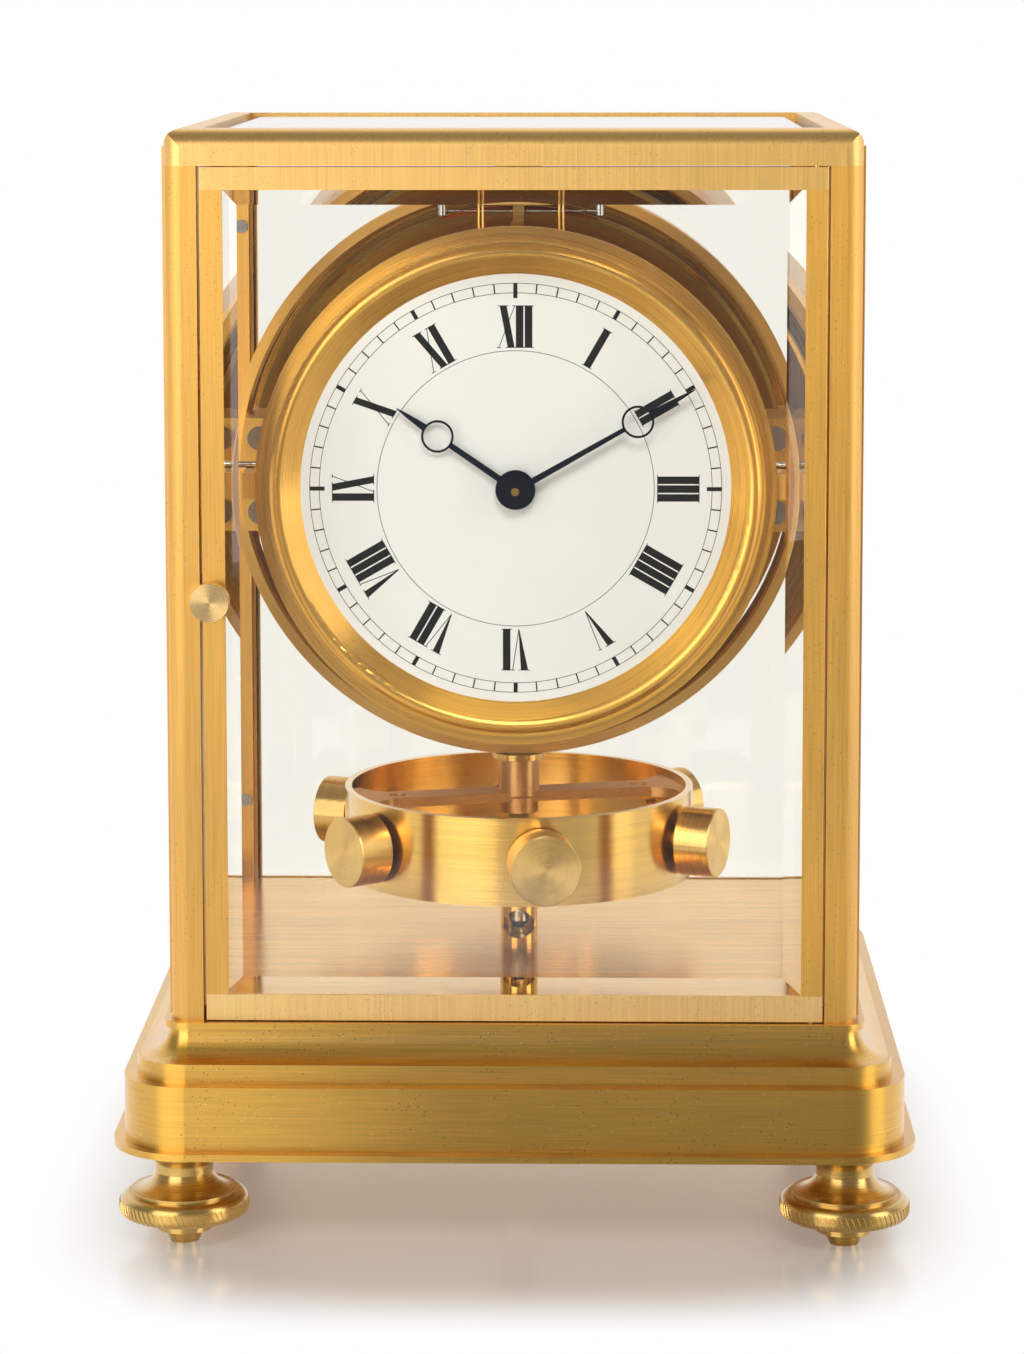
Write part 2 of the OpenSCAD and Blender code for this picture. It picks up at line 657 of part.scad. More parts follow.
// The movement: two plates with pillars, carried by the shield plate
front_plate_y = -36;
back_plate_y = shield_y - plate_t;
plate_w = 62;
plate_h = 66;
pillar_places = [[-26, -28], [26, -28], [-26, 28], [26, 28]];
module movement_plates() color(pale_brass) difference() {
    union() {
        turned(front_plate_y) linear_extrude(plate_t) rounded(plate_w, plate_h, 6);
        turned(back_plate_y) linear_extrude(plate_t) rounded(plate_w, plate_h, 6);
        for (p = pillar_places) at_dial(p[0], p[1], front_plate_y + 1) {
            cylinder(r = 2.5, h = back_plate_y - front_plate_y);
            translate([0, 0, 5]) cylinder(r = 3.4, h = 8);
        }
        for (a = [90, 210, 330]) at_dial(28 * turn(a)[0], 28 * turn(a)[1], dial_y + dial_t)
            cylinder(r = 1.6, h = front_plate_y - dial_y - dial_t + 1);
    }
    for (p = [[0, 0], third_at, escape_at, barrel_at, motion_at, pallet_at])
        at_dial(p[0], p[1], front_plate_y - 1) cylinder(r = 1 + fit, h = 30);
    at_dial(0, 0, front_plate_y - 1) cylinder(r = 1.5 + fit, h = plate_t + 2);
}

module dial_plate() color(enamel) turned(dial_y) difference() {
    cylinder(r = dial_r + 3.4, h = dial_t);
    translate([0, 0, -1]) cylinder(r = 3.2, h = dial_t + 2);
}

// The bezel, drawn as radius against depth: flange, bead, shoulder and inner slope
module bezel_profile() {
    lip = dial_r;
    difference() {
        union() {
            translate([lip, -3.4]) square([4.6, 3.4 + dial_t]);
            translate([lip + 3, -2.6]) square([5.4, 4]);
            translate([lip + 5.6, -2]) circle(2);
            translate([lip + 6.9, -0.4]) circle(1.3);
            translate([lip + 3, dial_t + 1.2]) square([bezel_r - lip - 3, 2]);
            translate([lip + 3, 0]) square([6.2, dial_t + 2]);
        }
        translate([lip - 1, 0]) square([4.6, dial_t]);
        translate([lip - 1, dial_t - 0.01]) square([1 + 3.4 - 1.4, 5]);
        translate([lip, -4]) polygon([[-1, -1], [4.6, 0], [4.6, 0.2], [0, 4], [-1, 4]]);
    }
}
module dial_bezel() color(satin_brass) turned(dial_y) rotate_extrude() bezel_profile();

// Hands. The hollow circle of each hand is cut right through.
module hand(len, eye, w, w_eye, boss, bore, t) {
    leaf = eye + eye_r - 0.3;
    difference() {
        linear_extrude(t) difference() {
            union() {
                polygon([[-w / 2, 0], [w / 2, 0], [w_eye / 2, eye], [-w_eye / 2, eye]]);
                translate([0, eye]) circle(eye_r);
                polygon([[-0.92, leaf], [0.92, leaf], [0.45, leaf + (len - leaf) * 0.7],
                    [0.1, len], [-0.1, len], [-0.45, leaf + (len - leaf) * 0.7]]);
                circle(boss);
            }
            translate([0, eye]) circle(eye_r - 0.55);
        }
        translate([0, 0, -1]) cylinder(r = bore, h = t + 2);
    }
}
module clockwise(a, y) { translate([0, y, dial_z]) rotate([0, a, 0]) rotate([90, 0, 0]) children(); }

hour_y = dial_y - 1.7;               // back face of the hour hand
hand_t = 0.6;
minute_y = hour_y - 2.2;
arbor_r = 1;
pipe_r = 1.5;                        // cannon pinion's pipe
hour_pipe_r = 2.6;
module hour_hand() color(blued_steel) {
    clockwise(hour_deg, hour_y) {
        hand(hour_len, hour_eye, 1.65, 1.35, 4.9, pipe_r + 0.1, hand_t);
        difference() {
            translate([0, 0, hand_t]) cylinder(r = 4.2, h = 0.7);
            translate([0, 0, -1]) cylinder(r = pipe_r + 0.1, h = 5);
        }
    }
    turned(hour_y) difference() {
        cylinder(r = hour_pipe_r, h = motion_y + 2.6 - hour_y);
        translate([0, 0, -1]) cylinder(r = pipe_r + 0.1, h = 20);
    }
    turned(motion_y + 1.4) difference() {
        gear(hour_m, hour_teeth, 1.2, 0);
        translate([0, 0, -1]) cylinder(r = pipe_r + 0.1, h = 5);
    }
}
module minute_hand() color(blued_steel) clockwise(minute_deg, minute_y) {
    hand(minute_len, minute_eye, 1.65, 1.05, 4.2, arbor_r, hand_t);
    difference() {
        translate([0, 0, hand_t]) cylinder(r = 3.4, h = 0.8);
        translate([0, 0, -1]) cylinder(r = arbor_r, h = 5);
    }
}

// Wheels of the movement. Teeth are trapezia with room between them.
module gear(m, n, t, a) {
    ro = m * (n / 2 + 0.75);
    rf = m * (n / 2 - 1.05);
    step = 360 / n;
    points = [for (i = [0:n - 1]) for (q = [[rf, -0.21], [ro, -0.09], [ro, 0.09], [rf, 0.21]])
        [q[0] * cos(a + step * (i + q[1])), q[0] * sin(a + step * (i + q[1]))]];
    linear_extrude(t) polygon(points);
}
// The angle that sets the second wheel's teeth in the first one's gaps, theta apart
function mesh_angle(theta, a, n1, n2) = theta + 180 - (a - theta) * n1 / n2 + 180 / n2;
function reach(m, n1, n2, theta) = m * (n1 + n2) / 2 * [cos(theta), -sin(theta)];

train_m = 0.5;
motion_m = 0.4;
motion_y = front_plate_y - 4.2;      // front face of the motion work
centre_teeth = 60;
centre_pinion = 12;
third_teeth = 60;
third_pinion = 10;
escape_teeth = 15;
escape_pinion = 10;
barrel_teeth = 84;
cannon_teeth = 12;
motion_teeth = 36;
motion_pinion = 10;
hour_teeth = 40;
hour_m = motion_m * (cannon_teeth + motion_teeth) / (motion_pinion + hour_teeth);
third_theta = 35;
escape_theta = 100;
barrel_theta = 180;
motion_theta = 250;
third_at = reach(train_m, centre_teeth, third_pinion, third_theta);
escape_at = third_at + reach(train_m, third_teeth, escape_pinion, escape_theta);
barrel_at = reach(train_m, barrel_teeth, centre_pinion, barrel_theta);
motion_at = reach(motion_m, cannon_teeth, motion_teeth, motion_theta);
pallet_at = escape_at + [-10.5, 3];

// Centre arbor with its wheel, its pinion, the cannon pinion and the front pin
module minute_arbor() color(brass) {
    turned(minute_y - 2.6) cylinder(r = arbor_r, h = back_plate_y + plate_t - minute_y + 2.6 - fit);
    turned(minute_y) cylinder(r = pipe_r, h = front_plate_y - minute_y - fit);
    turned(motion_y + 2.8) gear(motion_m, cannon_teeth, 1.2, 0);
    turned(front_plate_y + plate_t + 12) gear(train_m, centre_teeth, 1.4, 0);
    turned(front_plate_y + plate_t + 4) gear(train_m, centre_pinion, 4, 0);
}
module motion_wheel() color(brass) {
    a = mesh_angle(motion_theta, 0, cannon_teeth, motion_teeth);
    at_dial(motion_at[0], motion_at[1], motion_y + 2.8) gear(motion_m, motion_teeth, 1.2, a);
    at_dial(motion_at[0], motion_at[1], motion_y + 1.2)
        gear(hour_m, motion_pinion, 1.7, mesh_angle(motion_theta, 0, hour_teeth, motion_pinion));
    at_dial(motion_at[0], motion_at[1], motion_y + 1) cylinder(r = 1, h = 5);
}
module mainspring_barrel() color(brass) {
    a = mesh_angle(barrel_theta + 180, 0, centre_pinion, barrel_teeth);
    at_dial(barrel_at[0], barrel_at[1], front_plate_y + plate_t + 4.4) {
        gear(train_m, barrel_teeth, 1.4, a);
        cylinder(r = 18, h = 6);
    }
    at_dial(barrel_at[0], barrel_at[1], front_plate_y + 0.2) cylinder(r = 1, h = 23);
}
module third_wheel() color(brass) {
    a = mesh_angle(third_theta, 0, centre_teeth, third_pinion);
    at_dial(third_at[0], third_at[1], front_plate_y + 0.2) cylinder(r = 1, h = 23);
    at_dial(third_at[0], third_at[1], front_plate_y + plate_t + 11) gear(train_m, third_pinion, 3.4, a);
    at_dial(third_at[0], third_at[1], front_plate_y + plate_t + 2) gear(train_m, third_teeth, 1.2, 0);
}
module escape_wheel() color(brass) {
    a = mesh_angle(escape_theta, 0, third_teeth, escape_pinion);
    at_dial(escape_at[0], escape_at[1], front_plate_y + 0.2) cylinder(r = 1, h = 23);
    at_dial(escape_at[0], escape_at[1], front_plate_y + plate_t + 1) gear(train_m, escape_pinion, 3.2, a);
    at_dial(escape_at[0], escape_at[1], front_plate_y + plate_t + 15) gear(0.7, escape_teeth, 1, 0);
}
module pallet_lever() color(steel) {
    at_dial(pallet_at[0], pallet_at[1], front_plate_y + 0.2) cylinder(r = 1, h = 23);
    at_dial(pallet_at[0], pallet_at[1], front_plate_y + plate_t + 17) {
        translate([-1, -12, 0]) cube([2, 12, 1]);
        translate([-4, -1, 0]) cube([8, 2, 1]);
    }
}

// The bracket on the carrier ring that the balance wire hangs from, with its front plate,
// stays and pins
susp_z = dial_z + max(shield_r + 2, ring_r - 3.8);
susp_dx = 0.9;                       // the rods and pins stand a little to the right
rod_x = 10.1;
stay_x = 19.8;
front_y = shield_y - 4;
cock_w = 12;
cock_z = dial_z + ring_r + 3.4;      // top of the block that holds the wire
module stay_pins(r, h) {
    for (s = [-1, 1]) translate([s * stay_x + susp_dx, front_y, susp_z - 4.2]) cylinder(r = r, h = h);
}
module suspension_bracket() color(satin_brass) {
    top_t = 3;
    base_z = dial_z + ring_r - 3.8;
    difference() {
        translate([-22, front_y - 1.5, susp_z]) cube([44, ring_y - front_y + 1.5, top_t]);
        stay_pins(0.95 + fit, 6.3);
    }
    difference() {
        translate([-cock_w / 2, ring_y, base_z]) cube([cock_w, ring_d, cock_z - base_z]);
        turned(ring_y - 1) cylinder(r = ring_r, h = ring_d + 2);
        translate([0, 0, base_z]) cylinder(r = wire_r + 0.3, h = cock_z - base_z - 1.2);
    }
    for (s = [-1, 1], e = [-0.5, 0.5])
        translate([s * rod_x + susp_dx + e, front_y, susp_z - 12]) cylinder(r = 0.28, h = 12.5);
    translate([-1.1, front_y - 1, susp_z - 6.5]) cube([2.8, 1.4, 7]);
    translate([-1.6, front_y - 2.2, susp_z - 7]) cube([3.2, 2.6, 1.4]);
}

brim_top = dial_z - ring_r - 0.1;
brim_t = 1.5;
tube_bottom = brim_top - brim_t;
module guard_tube() color(satin_brass) difference() {
    union() {
        translate([0, 0, tube_bottom]) cylinder(r = tube_r + 3.7, h = brim_t);
        intersection() {
            translate([0, 0, tube_bottom]) cylinder(r = tube_r, h = ring_r * 2 + 2);
            turned(-20) cylinder(r = ring_r - 0.1, h = 40);
        }
        translate([0, 0, tube_bottom]) cylinder(r = tube_r, h = brim_t + ring_w);
    }
    translate([0, 0, tube_bottom - 1]) cylinder(r = tube_r - 0.8, h = ring_r * 2 + 10);
}

// Balance: crossbar with its collar, spindle, wire, ring and weights
bar_hole_x = 32;
inner_r = bal_r - bal_wall;
module balance_bar() color(satin_brass) {
    difference() {
        translate([0, 0, bar_top - bar_t]) linear_extrude(bar_t) intersection() {
            circle(inner_r);
            rotate(bar_deg) union() {
                square([2 * inner_r + 2, 8.5], center = true);
                for (s = [-1, 1]) difference() {
                    translate([s * (inner_r + 2), 0]) square([22, 22], center = true);
                    for (y = [-1, 1]) translate([s * (inner_r - 13), y * 14.25]) circle(10);
                }
            }
        }
        for (s = [-1, 1]) rotate(bar_deg) translate([s * bar_hole_x, 0, bar_top - bar_t - 1])
            cylinder(r = 2.2, h = bar_t + 2);
    }
    translate([0, 0, bar_top - 1]) cylinder(r = collar_r, h = tube_bottom - air - bar_top + 1);
    translate([0, 0, bar_top - bar_t - 3]) cylinder(r = 5, h = 4);
}
hub_z = bar_top - bar_t - 3;
module balance_spindle() color(steel)
    rotate_extrude() polygon([[0, spindle_z], [1.2, spindle_z], [spindle_r, spindle_z + 2],
        [spindle_r, hub_z], [0, hub_z]]);
module balance_wire() color(steel)
    translate([0, 0, tube_bottom - air]) cylinder(r = wire_r, h = cock_z - 1.2 - tube_bottom);
spindle_z = floor_z + 3.4;
module balance_ring() color(satin_brass) translate([0, 0, bal_top - bal_h]) difference() {
    cylinder(r = bal_r, h = bal_h);
    translate([0, 0, -1]) cylinder(r = inner_r, h = bal_h + 2);
    translate([0, 0, bal_h / 2]) weight_places() rotate([90, 0, 0]) cylinder(r = 1.6, h = bal_r + 5);
}
module weight_places() {
    for (i = [0:weight_n - 1]) rotate(weight_deg + i * 360 / weight_n) children();
}
neck_len = 1.1;
module balance_weights() color(satin_brass) translate([0, 0, bal_z]) {
    difference() {
        weight_places() rotate([90, 0, 0]) {
            translate([0, 0, bal_r - 1]) cylinder(r = 3.6, h = neck_len + 1.5);
            translate([0, 0, bal_r + neck_len]) weight_form();
        }
        cylinder(r = bal_r, h = bal_h, center = true);
    }
    weight_places() rotate([90, 0, 0])
        translate([0, 0, inner_r - 1.6]) cylinder(r = 1.6, h = bal_wall + neck_len + 2);
}
module weight_form() {
    edge = 0.25;
    cylinder(r = weight_r, h = weight_len - edge);
    translate([0, 0, weight_len - edge]) cylinder(r1 = weight_r, r2 = weight_r - edge, h = edge);
}

// Guide post on the floor, round the spindle, with an arched hole in which it shows
hole_w = post_r * 0.93;
module guide_post() color(brass) difference() {
    translate([0, 0, floor_z]) cylinder(r = post_r, h = post_h);
    translate([0, 0, floor_z - 1]) cylinder(r = post_r - post_wall, h = post_h + 2);
    translate([0, 0, floor_z + 5.4]) rotate([90, 0, 0]) linear_extrude(post_r + 1)
        polygon(concat([for (i = [12:24]) [hole_w * cos(15 * i), 4 * sin(15 * i)]],
            [[hole_w * 0.55, 2.5], [0, 4.1], [-hole_w * 0.55, 2.5]]));
}

// Balance lock: a lever under the base turns a screw that lifts the sleeve in the post
sleeve_r = 3.2;
lever_hub_r = 6;
lock_travel = 2.4;
sleeve_z = band_z + 4;
module lock_sleeve() color(steel) difference() {
    translate([0, 0, sleeve_z]) cylinder(r = sleeve_r, h = spindle_z - lock_travel - air - sleeve_z);
    translate([0, 0, sleeve_z - 1]) cylinder(r = 1.5 + fit, h = 11);
}
module lock_lever() color(brass) {
    translate([0, 0, underside_z - 3]) {
        cylinder(r = lever_hub_r, h = bottom_t + 3);
        translate([-3, -26, 0]) cube([6, 26, 2]);
        translate([0, -26, 0]) cylinder(r = 4.5, h = 2);
        translate([0, -26, -5]) cylinder(r = 3, h = 6);
    }
    translate([0, 0, band_z - 1]) cylinder(r = 1.5, h = 12);
}

base_plinth();
lip_plate();
bottom_plate();
floor_plate();
foot_collars();
rear_feet();
levelling_foot_left();
levelling_foot_right();
foot_tip_left();
foot_tip_right();
front_pillar_left();
front_pillar_right();
rear_pillar_left();
rear_pillar_right();
top_frame();
top_glass();
side_glass_left();
side_glass_right();
side_bezel_left();
side_bezel_right();
rear_frame();
rear_glass();
door_top_rail();
door_bottom_rail();
door_hinge_stile();
door_latch_stile();
door_glass();
door_hinge_pins();
door_knob();
rear_bridge();
carrier_ring();
drum_housing();
drum_cover();
expansion_capsule();
capsule_plate();
shield_plate();
bracket_left();
bracket_right();
fixing_screws();
movement_plates();
dial_plate();
dial_bezel();
minute_arbor();
minute_hand();
hour_hand();
motion_wheel();
mainspring_barrel();
third_wheel();
escape_wheel();
pallet_lever();
suspension_bracket();
guard_tube();
balance_bar();
balance_spindle();
balance_wire();
balance_ring();
balance_weights();
guide_post();
lock_sleeve();
lock_lever();
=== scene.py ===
# %% [markdown]
# # A glazed clock with a turning balance
#
# The solid parts of this clock come from its CAD model, already in place and at full size. This
# lesson gives them their looks: brushed, turned and polished brass, bevelled glass, an enamel
# dial with printed numerals, and the small things that repeat, such as ticks and knurls.
#
# We start by loading the parts, so that every piece we add can be placed from their own sizes.

# %% Load the parts
from math import cos, pi, radians, sin, sqrt

import bmesh
import bpy
from mathutils import Matrix, Vector


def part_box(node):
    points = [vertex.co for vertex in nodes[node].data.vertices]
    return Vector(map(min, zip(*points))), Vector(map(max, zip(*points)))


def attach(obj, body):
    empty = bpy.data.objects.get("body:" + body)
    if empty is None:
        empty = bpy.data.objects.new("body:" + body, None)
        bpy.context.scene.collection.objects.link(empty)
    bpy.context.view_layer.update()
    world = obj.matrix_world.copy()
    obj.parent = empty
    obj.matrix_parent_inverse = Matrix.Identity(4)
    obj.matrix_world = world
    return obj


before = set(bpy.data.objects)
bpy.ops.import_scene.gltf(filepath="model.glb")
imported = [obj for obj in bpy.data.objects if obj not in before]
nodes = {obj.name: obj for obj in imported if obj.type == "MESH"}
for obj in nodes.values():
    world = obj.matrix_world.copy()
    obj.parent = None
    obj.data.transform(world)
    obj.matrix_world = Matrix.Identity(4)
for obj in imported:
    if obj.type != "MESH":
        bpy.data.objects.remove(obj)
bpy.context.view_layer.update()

mm = 0.001

# %% [markdown]
# ## The camera
#
# The photograph was taken from a little above the clock with a long lens, and the picture was
# framed lower than the lens pointed. A small vertical shift of the lens does the same here, so
# the upright edges keep their slight lean. The lens and its shift are given in the photograph's
# own pixels, and Blender wants them as shares of the film's height.

# %% Place the camera
def link_in(thing):
    """Put a new object into the scene and hand it back."""
    bpy.context.scene.collection.objects.link(thing)
    return thing


picture_h = 1354
focal_px, shift_px = 3904.0, -237.0
film = 36.0
camera_place = (17.44 * mm, -998.3 * mm, 298.23 * mm)
pan, tilt, roll = radians(1.10), radians(-6.31), radians(0.05)

camera_data = bpy.data.cameras.new("Camera")
camera_data.sensor_fit = "VERTICAL"
camera_data.sensor_height = film
camera_data.sensor_width = film
camera_data.lens = focal_px * film / picture_h
camera_data.shift_y = shift_px / picture_h
camera_data.clip_start = 0.01
camera_data.clip_end = 60
camera = link_in(bpy.data.objects.new("Camera", camera_data))
turn = (Matrix.Rotation(pan, 4, "Z") @ Matrix.Rotation(tilt, 4, "X")
        @ Matrix.Rotation(roll, 4, "Y") @ Matrix.Rotation(radians(90), 4, "X"))
camera.matrix_world = Matrix.Translation(camera_place) @ turn
bpy.context.scene.camera = camera
print("lens", round(camera_data.lens, 1), "mm, shift", round(camera_data.shift_y, 3))

# %% [markdown]
# ## Small helpers for materials
#
# A material is a small graph of nodes. A few helpers keep each graph short to write: `put` adds
# a node and sets its values, `wire` joins two sockets, `fresh` makes a material and hands back
# its main shader, and `sums` and `vectors` do a step of arithmetic. `grain` feeds a noise from
# the object's own coordinates, so no finish is quite even.

# %% Helpers for material graphs
def put(tree, kind, **values):
    node = tree.nodes.new("ShaderNode" + kind)
    for key, value in values.items():
        if hasattr(node, key):
            setattr(node, key, value)
        else:
            node.inputs[key.replace("_", " ")].default_value = value
    return node


def wire(tree, source, target):
    tree.links.new(source, target)


def fresh(name):
    material = bpy.data.materials.new(name)
    material.use_nodes = True
    return material, material.node_tree, material.node_tree.nodes["Principled BSDF"]


def sums(tree, operation, a, b=None, third=None):
    node = put(tree, "Math", operation=operation)
    for socket, value in zip(node.inputs, (a, b, third)):
        if value is None:
            continue
        if isinstance(value, (int, float)):
            socket.default_value = value
        else:
            wire(tree, value, socket)
    return node.outputs[0]


def vectors(tree, operation, a, b=None):
    node = put(tree, "VectorMath", operation=operation)
    for socket, value in zip(node.inputs, (a, b)):
        if value is None:
            continue
        if isinstance(value, (tuple, Vector)):
            socket.default_value = value
        else:
            wire(tree, value, socket)
    return node.outputs["Value"] if operation in ("LENGTH", "DOT_PRODUCT") else node.outputs[0]


def grain(tree, scale, detail):
    noise = put(tree, "TexNoise", Scale=scale, Detail=detail)
    wire(tree, put(tree, "TexCoord").outputs["Object"], noise.inputs["Vector"])
    return noise.outputs[0]


def between(tree, value, low, high):
    """A value from 0 to 1, spread from low to high: two numbers or two colours."""
    if isinstance(low, tuple):
        spread = put(tree, "ValToRGB")
        spread.color_ramp.elements[0].color = (*low, 1)
        spread.color_ramp.elements[1].color = (*high, 1)
        wire(tree, value, spread.inputs[0])
    else:
        spread = put(tree, "MapRange", To_Min=low, To_Max=high)
        wire(tree, value, spread.inputs["Value"])
    return spread.outputs[0]


print("helpers ready")

# %% [markdown]
# ## Brushed and turned brass
#
# Nearly all of the clock is lacquered brass. What tells one part from another is the direction
# of its fine scratches: upright on the rails, along the mouldings of the base, and round the
# axis on everything that was turned on a lathe. Scratches stretch a highlight across themselves,
# which the shader does with a tangent, and they show as faint streaks, which a stretched noise
# draws. The lacquer is the shader's coat. It lays a pale shine over the deep yellow of the metal,
# so bright places turn creamy and dark ones stay golden.
#
# Old lacquer also has pale flecks and dark pits. Both are dots in a field of cells, kept only
# where a broad noise is high, so they come in patches.

# %% Two kinds of marks in old lacquer
def marks(tree, place, colour, tint, size, density, weight, patches=90.0):
    """Dots of a tint over a colour. density is in dots per metre, size is a share of their spacing."""
    dots = put(tree, "TexVoronoi", Scale=density, Randomness=1.0)
    wire(tree, place, dots.inputs["Vector"])
    spot = sums(tree, "LESS_THAN", dots.outputs["Distance"], size)
    patch = put(tree, "TexNoise", Scale=patches, Detail=1.0)
    wire(tree, place, patch.inputs["Vector"])
    spot = sums(tree, "MULTIPLY", spot, sums(tree, "GREATER_THAN", patch.outputs[0], 0.5))
    mix = put(tree, "Mix", data_type="RGBA")
    wire(tree, sums(tree, "MULTIPLY", spot, weight), mix.inputs["Factor"])
    wire(tree, colour, mix.inputs["A"])
    mix.inputs["B"].default_value = (*tint, 1)
    return mix.outputs["Result"]


def flecked(tree, place, colour, weight):
    return marks(tree, place, colour, (1.0, 0.86, 0.55), 0.13, 900.0, weight)


def pitted(tree, place, colour, weight):
    return marks(tree, place, colour, (0.10, 0.05, 0.015), 0.15, 800.0, weight, patches=45.0)


print("flecks and pits ready")

# %% [markdown]
# A turned finish needs the direction round its axis at every point, which is the axis crossed with
# the way to the point. The balance's weights are six turned pieces that stand like spokes, so for
# them the axis is the nearest of six.

# %% The lines of a lathe
def turned_lines(tree, place, axis, folds, first):
    """The direction round the axis, the distance from it, and the place along it."""
    if folds:                                   # several turned pieces, like spokes round Z
        parts = put(tree, "SeparateXYZ")
        wire(tree, place, parts.inputs[0])
        angle = sums(tree, "ARCTAN2", parts.outputs[1], parts.outputs[0])
        step = 2 * pi / folds
        near = sums(tree, "ROUND", sums(tree, "DIVIDE", sums(tree, "SUBTRACT", angle, first), step))
        angle = sums(tree, "MULTIPLY_ADD", near, step, first)
        spoke = put(tree, "CombineXYZ")
        wire(tree, sums(tree, "COSINE", angle), spoke.inputs[0])
        wire(tree, sums(tree, "SINE", angle), spoke.inputs[1])
        line = spoke.outputs[0]
    else:
        line = put(tree, "CombineXYZ", X=axis[0], Y=axis[1], Z=axis[2]).outputs[0]
    round_it = vectors(tree, "CROSS_PRODUCT", line, place)
    return (vectors(tree, "NORMALIZE", round_it), vectors(tree, "LENGTH", round_it),
            vectors(tree, "DOT_PRODUCT", line, place))


print("lathe lines ready")

# %% [markdown]
# One function makes every brass. `run` is the direction of straight scratches, or "level" for
# scratches along a moulding. Turned work has a `centre` and an `axis` instead, or a number of
# `folds`. `pitch` is the width of a streak in millimetres and `tone` its strength.

# %% A brass finish with a direction
stretch = 0.012                                 # a streak's width as a share of its length
wobble = 22.0                                   # turned rings drift a little, in cells per metre
scratch_depth = 0.06 * mm
lacquer_ior = 1.7


def brass(name, colour, rough=0.3, run=None, centre=None, axis=None, folds=0, first=0.0,
          aniso=0.8, tone=0.6, pitch=0.26, flecks=0.0, pits=0.0, bump=0.3, lacquer=1.0):
    material, tree, shader = fresh(name)
    place = put(tree, "TexCoord").outputs["Object"]
    if centre is not None:
        place = vectors(tree, "SUBTRACT", place, tuple(centre))
    fine, slow = 1 / (pitch * mm), stretch / (pitch * mm)
    quarter_turn = 0.25                         # the tangent given is the scratches' direction
    if run == "level":                          # along a moulding that goes round the base
        scaled = vectors(tree, "MULTIPLY", place, (slow, slow, fine))
        tangent = put(tree, "CombineXYZ", X=0.01, Y=0.01, Z=1.0).outputs[0]
        quarter_turn = 0.0                      # here it is given across them
    elif run is not None:
        scaled = vectors(tree, "MULTIPLY", place, tuple(fine if abs(r) < 0.5 else slow for r in run))
        off_x, off_y, off_z = (r + 0.01 for r in run)
        tangent = put(tree, "CombineXYZ", X=off_x, Y=off_y, Z=off_z).outputs[0]
    else:
        tangent, radius, along = turned_lines(tree, place, axis, folds, first)
        rings = put(tree, "CombineXYZ")
        wire(tree, sums(tree, "MULTIPLY", radius, fine), rings.inputs[0])
        wire(tree, sums(tree, "MULTIPLY", along, fine), rings.inputs[1])
        drift = vectors(tree, "MULTIPLY", place, (wobble, wobble, wobble))
        scaled = vectors(tree, "ADD", rings.outputs[0], drift)
    streaks = put(tree, "TexNoise", Scale=1.0, Detail=2.0, Roughness=0.65)
    wire(tree, scaled, streaks.inputs["Vector"])
    bands = put(tree, "TexNoise", Scale=0.24, Detail=1.0)
    wire(tree, scaled, bands.inputs["Vector"])
    clouds = put(tree, "TexNoise", Scale=24.0, Detail=2.0)
    wire(tree, place, clouds.inputs["Vector"])
    band_tone, cloud_tone = tone * 0.25, tone * 0.3
    shade = sums(tree, "MULTIPLY_ADD", streaks.outputs[0], tone,
                 1.0 - (tone + band_tone + cloud_tone) / 2)
    shade = sums(tree, "MULTIPLY_ADD", bands.outputs[0], band_tone, shade)
    shade = sums(tree, "MULTIPLY_ADD", clouds.outputs[0], cloud_tone, shade)
    grey = put(tree, "CombineXYZ")
    for socket in grey.inputs:
        wire(tree, shade, socket)
    tinted = vectors(tree, "MULTIPLY", grey.outputs[0], tuple(colour))
    if flecks:
        tinted = flecked(tree, place, tinted, flecks)
    if pits:
        tinted = pitted(tree, place, tinted, pits)
    wire(tree, tinted, shader.inputs["Base Color"])
    uneven = sums(tree, "MULTIPLY_ADD", streaks.outputs[0], 0.2, rough - 0.1)
    wire(tree, uneven, shader.inputs["Roughness"])
    relief = put(tree, "Bump", Strength=bump, Distance=scratch_depth)
    wire(tree, streaks.outputs[0], relief.inputs["Height"])
    wire(tree, relief.outputs[0], shader.inputs["Normal"])
    wire(tree, tangent, shader.inputs["Tangent"])
    shader.inputs["Metallic"].default_value = 1.0
    shader.inputs["Anisotropic"].default_value = aniso
    shader.inputs["Anisotropic Rotation"].default_value = quarter_turn
    shader.inputs["Coat Weight"].default_value = lacquer
    shader.inputs["Coat Roughness"].default_value = rough
    shader.inputs["Coat IOR"].default_value = lacquer_ior
    return material


print("brass is a function of its grain")

# %% [markdown]
# ## Where things are
#
# The dial's centre and front come from the boxes of the dial's own parts, so the printing and
# the finishes that turn round it stay right if the clock's sizes change. The knob's box holds its
# latch blade too, which points up, so the knob's axis is one radius above the box's lower side.

# %% Read the main places from the parts
def middle(name):
    low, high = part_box(name)
    return Vector([(a + b) / 2 for a, b in zip(low, high)])


dial_low, dial_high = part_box("dial_plate")
dial = middle("dial_plate")
dial_front = dial_low[1]
balance_z = middle("balance_weights").z
knob_low, knob_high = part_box("door_knob")
knob_r = (knob_high[0] - knob_low[0]) / 2
knob_axis = Vector((knob_low[0] + knob_r, 0, knob_low[2] + knob_r))
foot_low, foot_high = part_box("levelling_foot_left")
foot_r = (foot_high[0] - foot_low[0]) / 2
print("dial centre", [round(v / mm, 1) for v in dial], "front", round(dial_front / mm, 1))
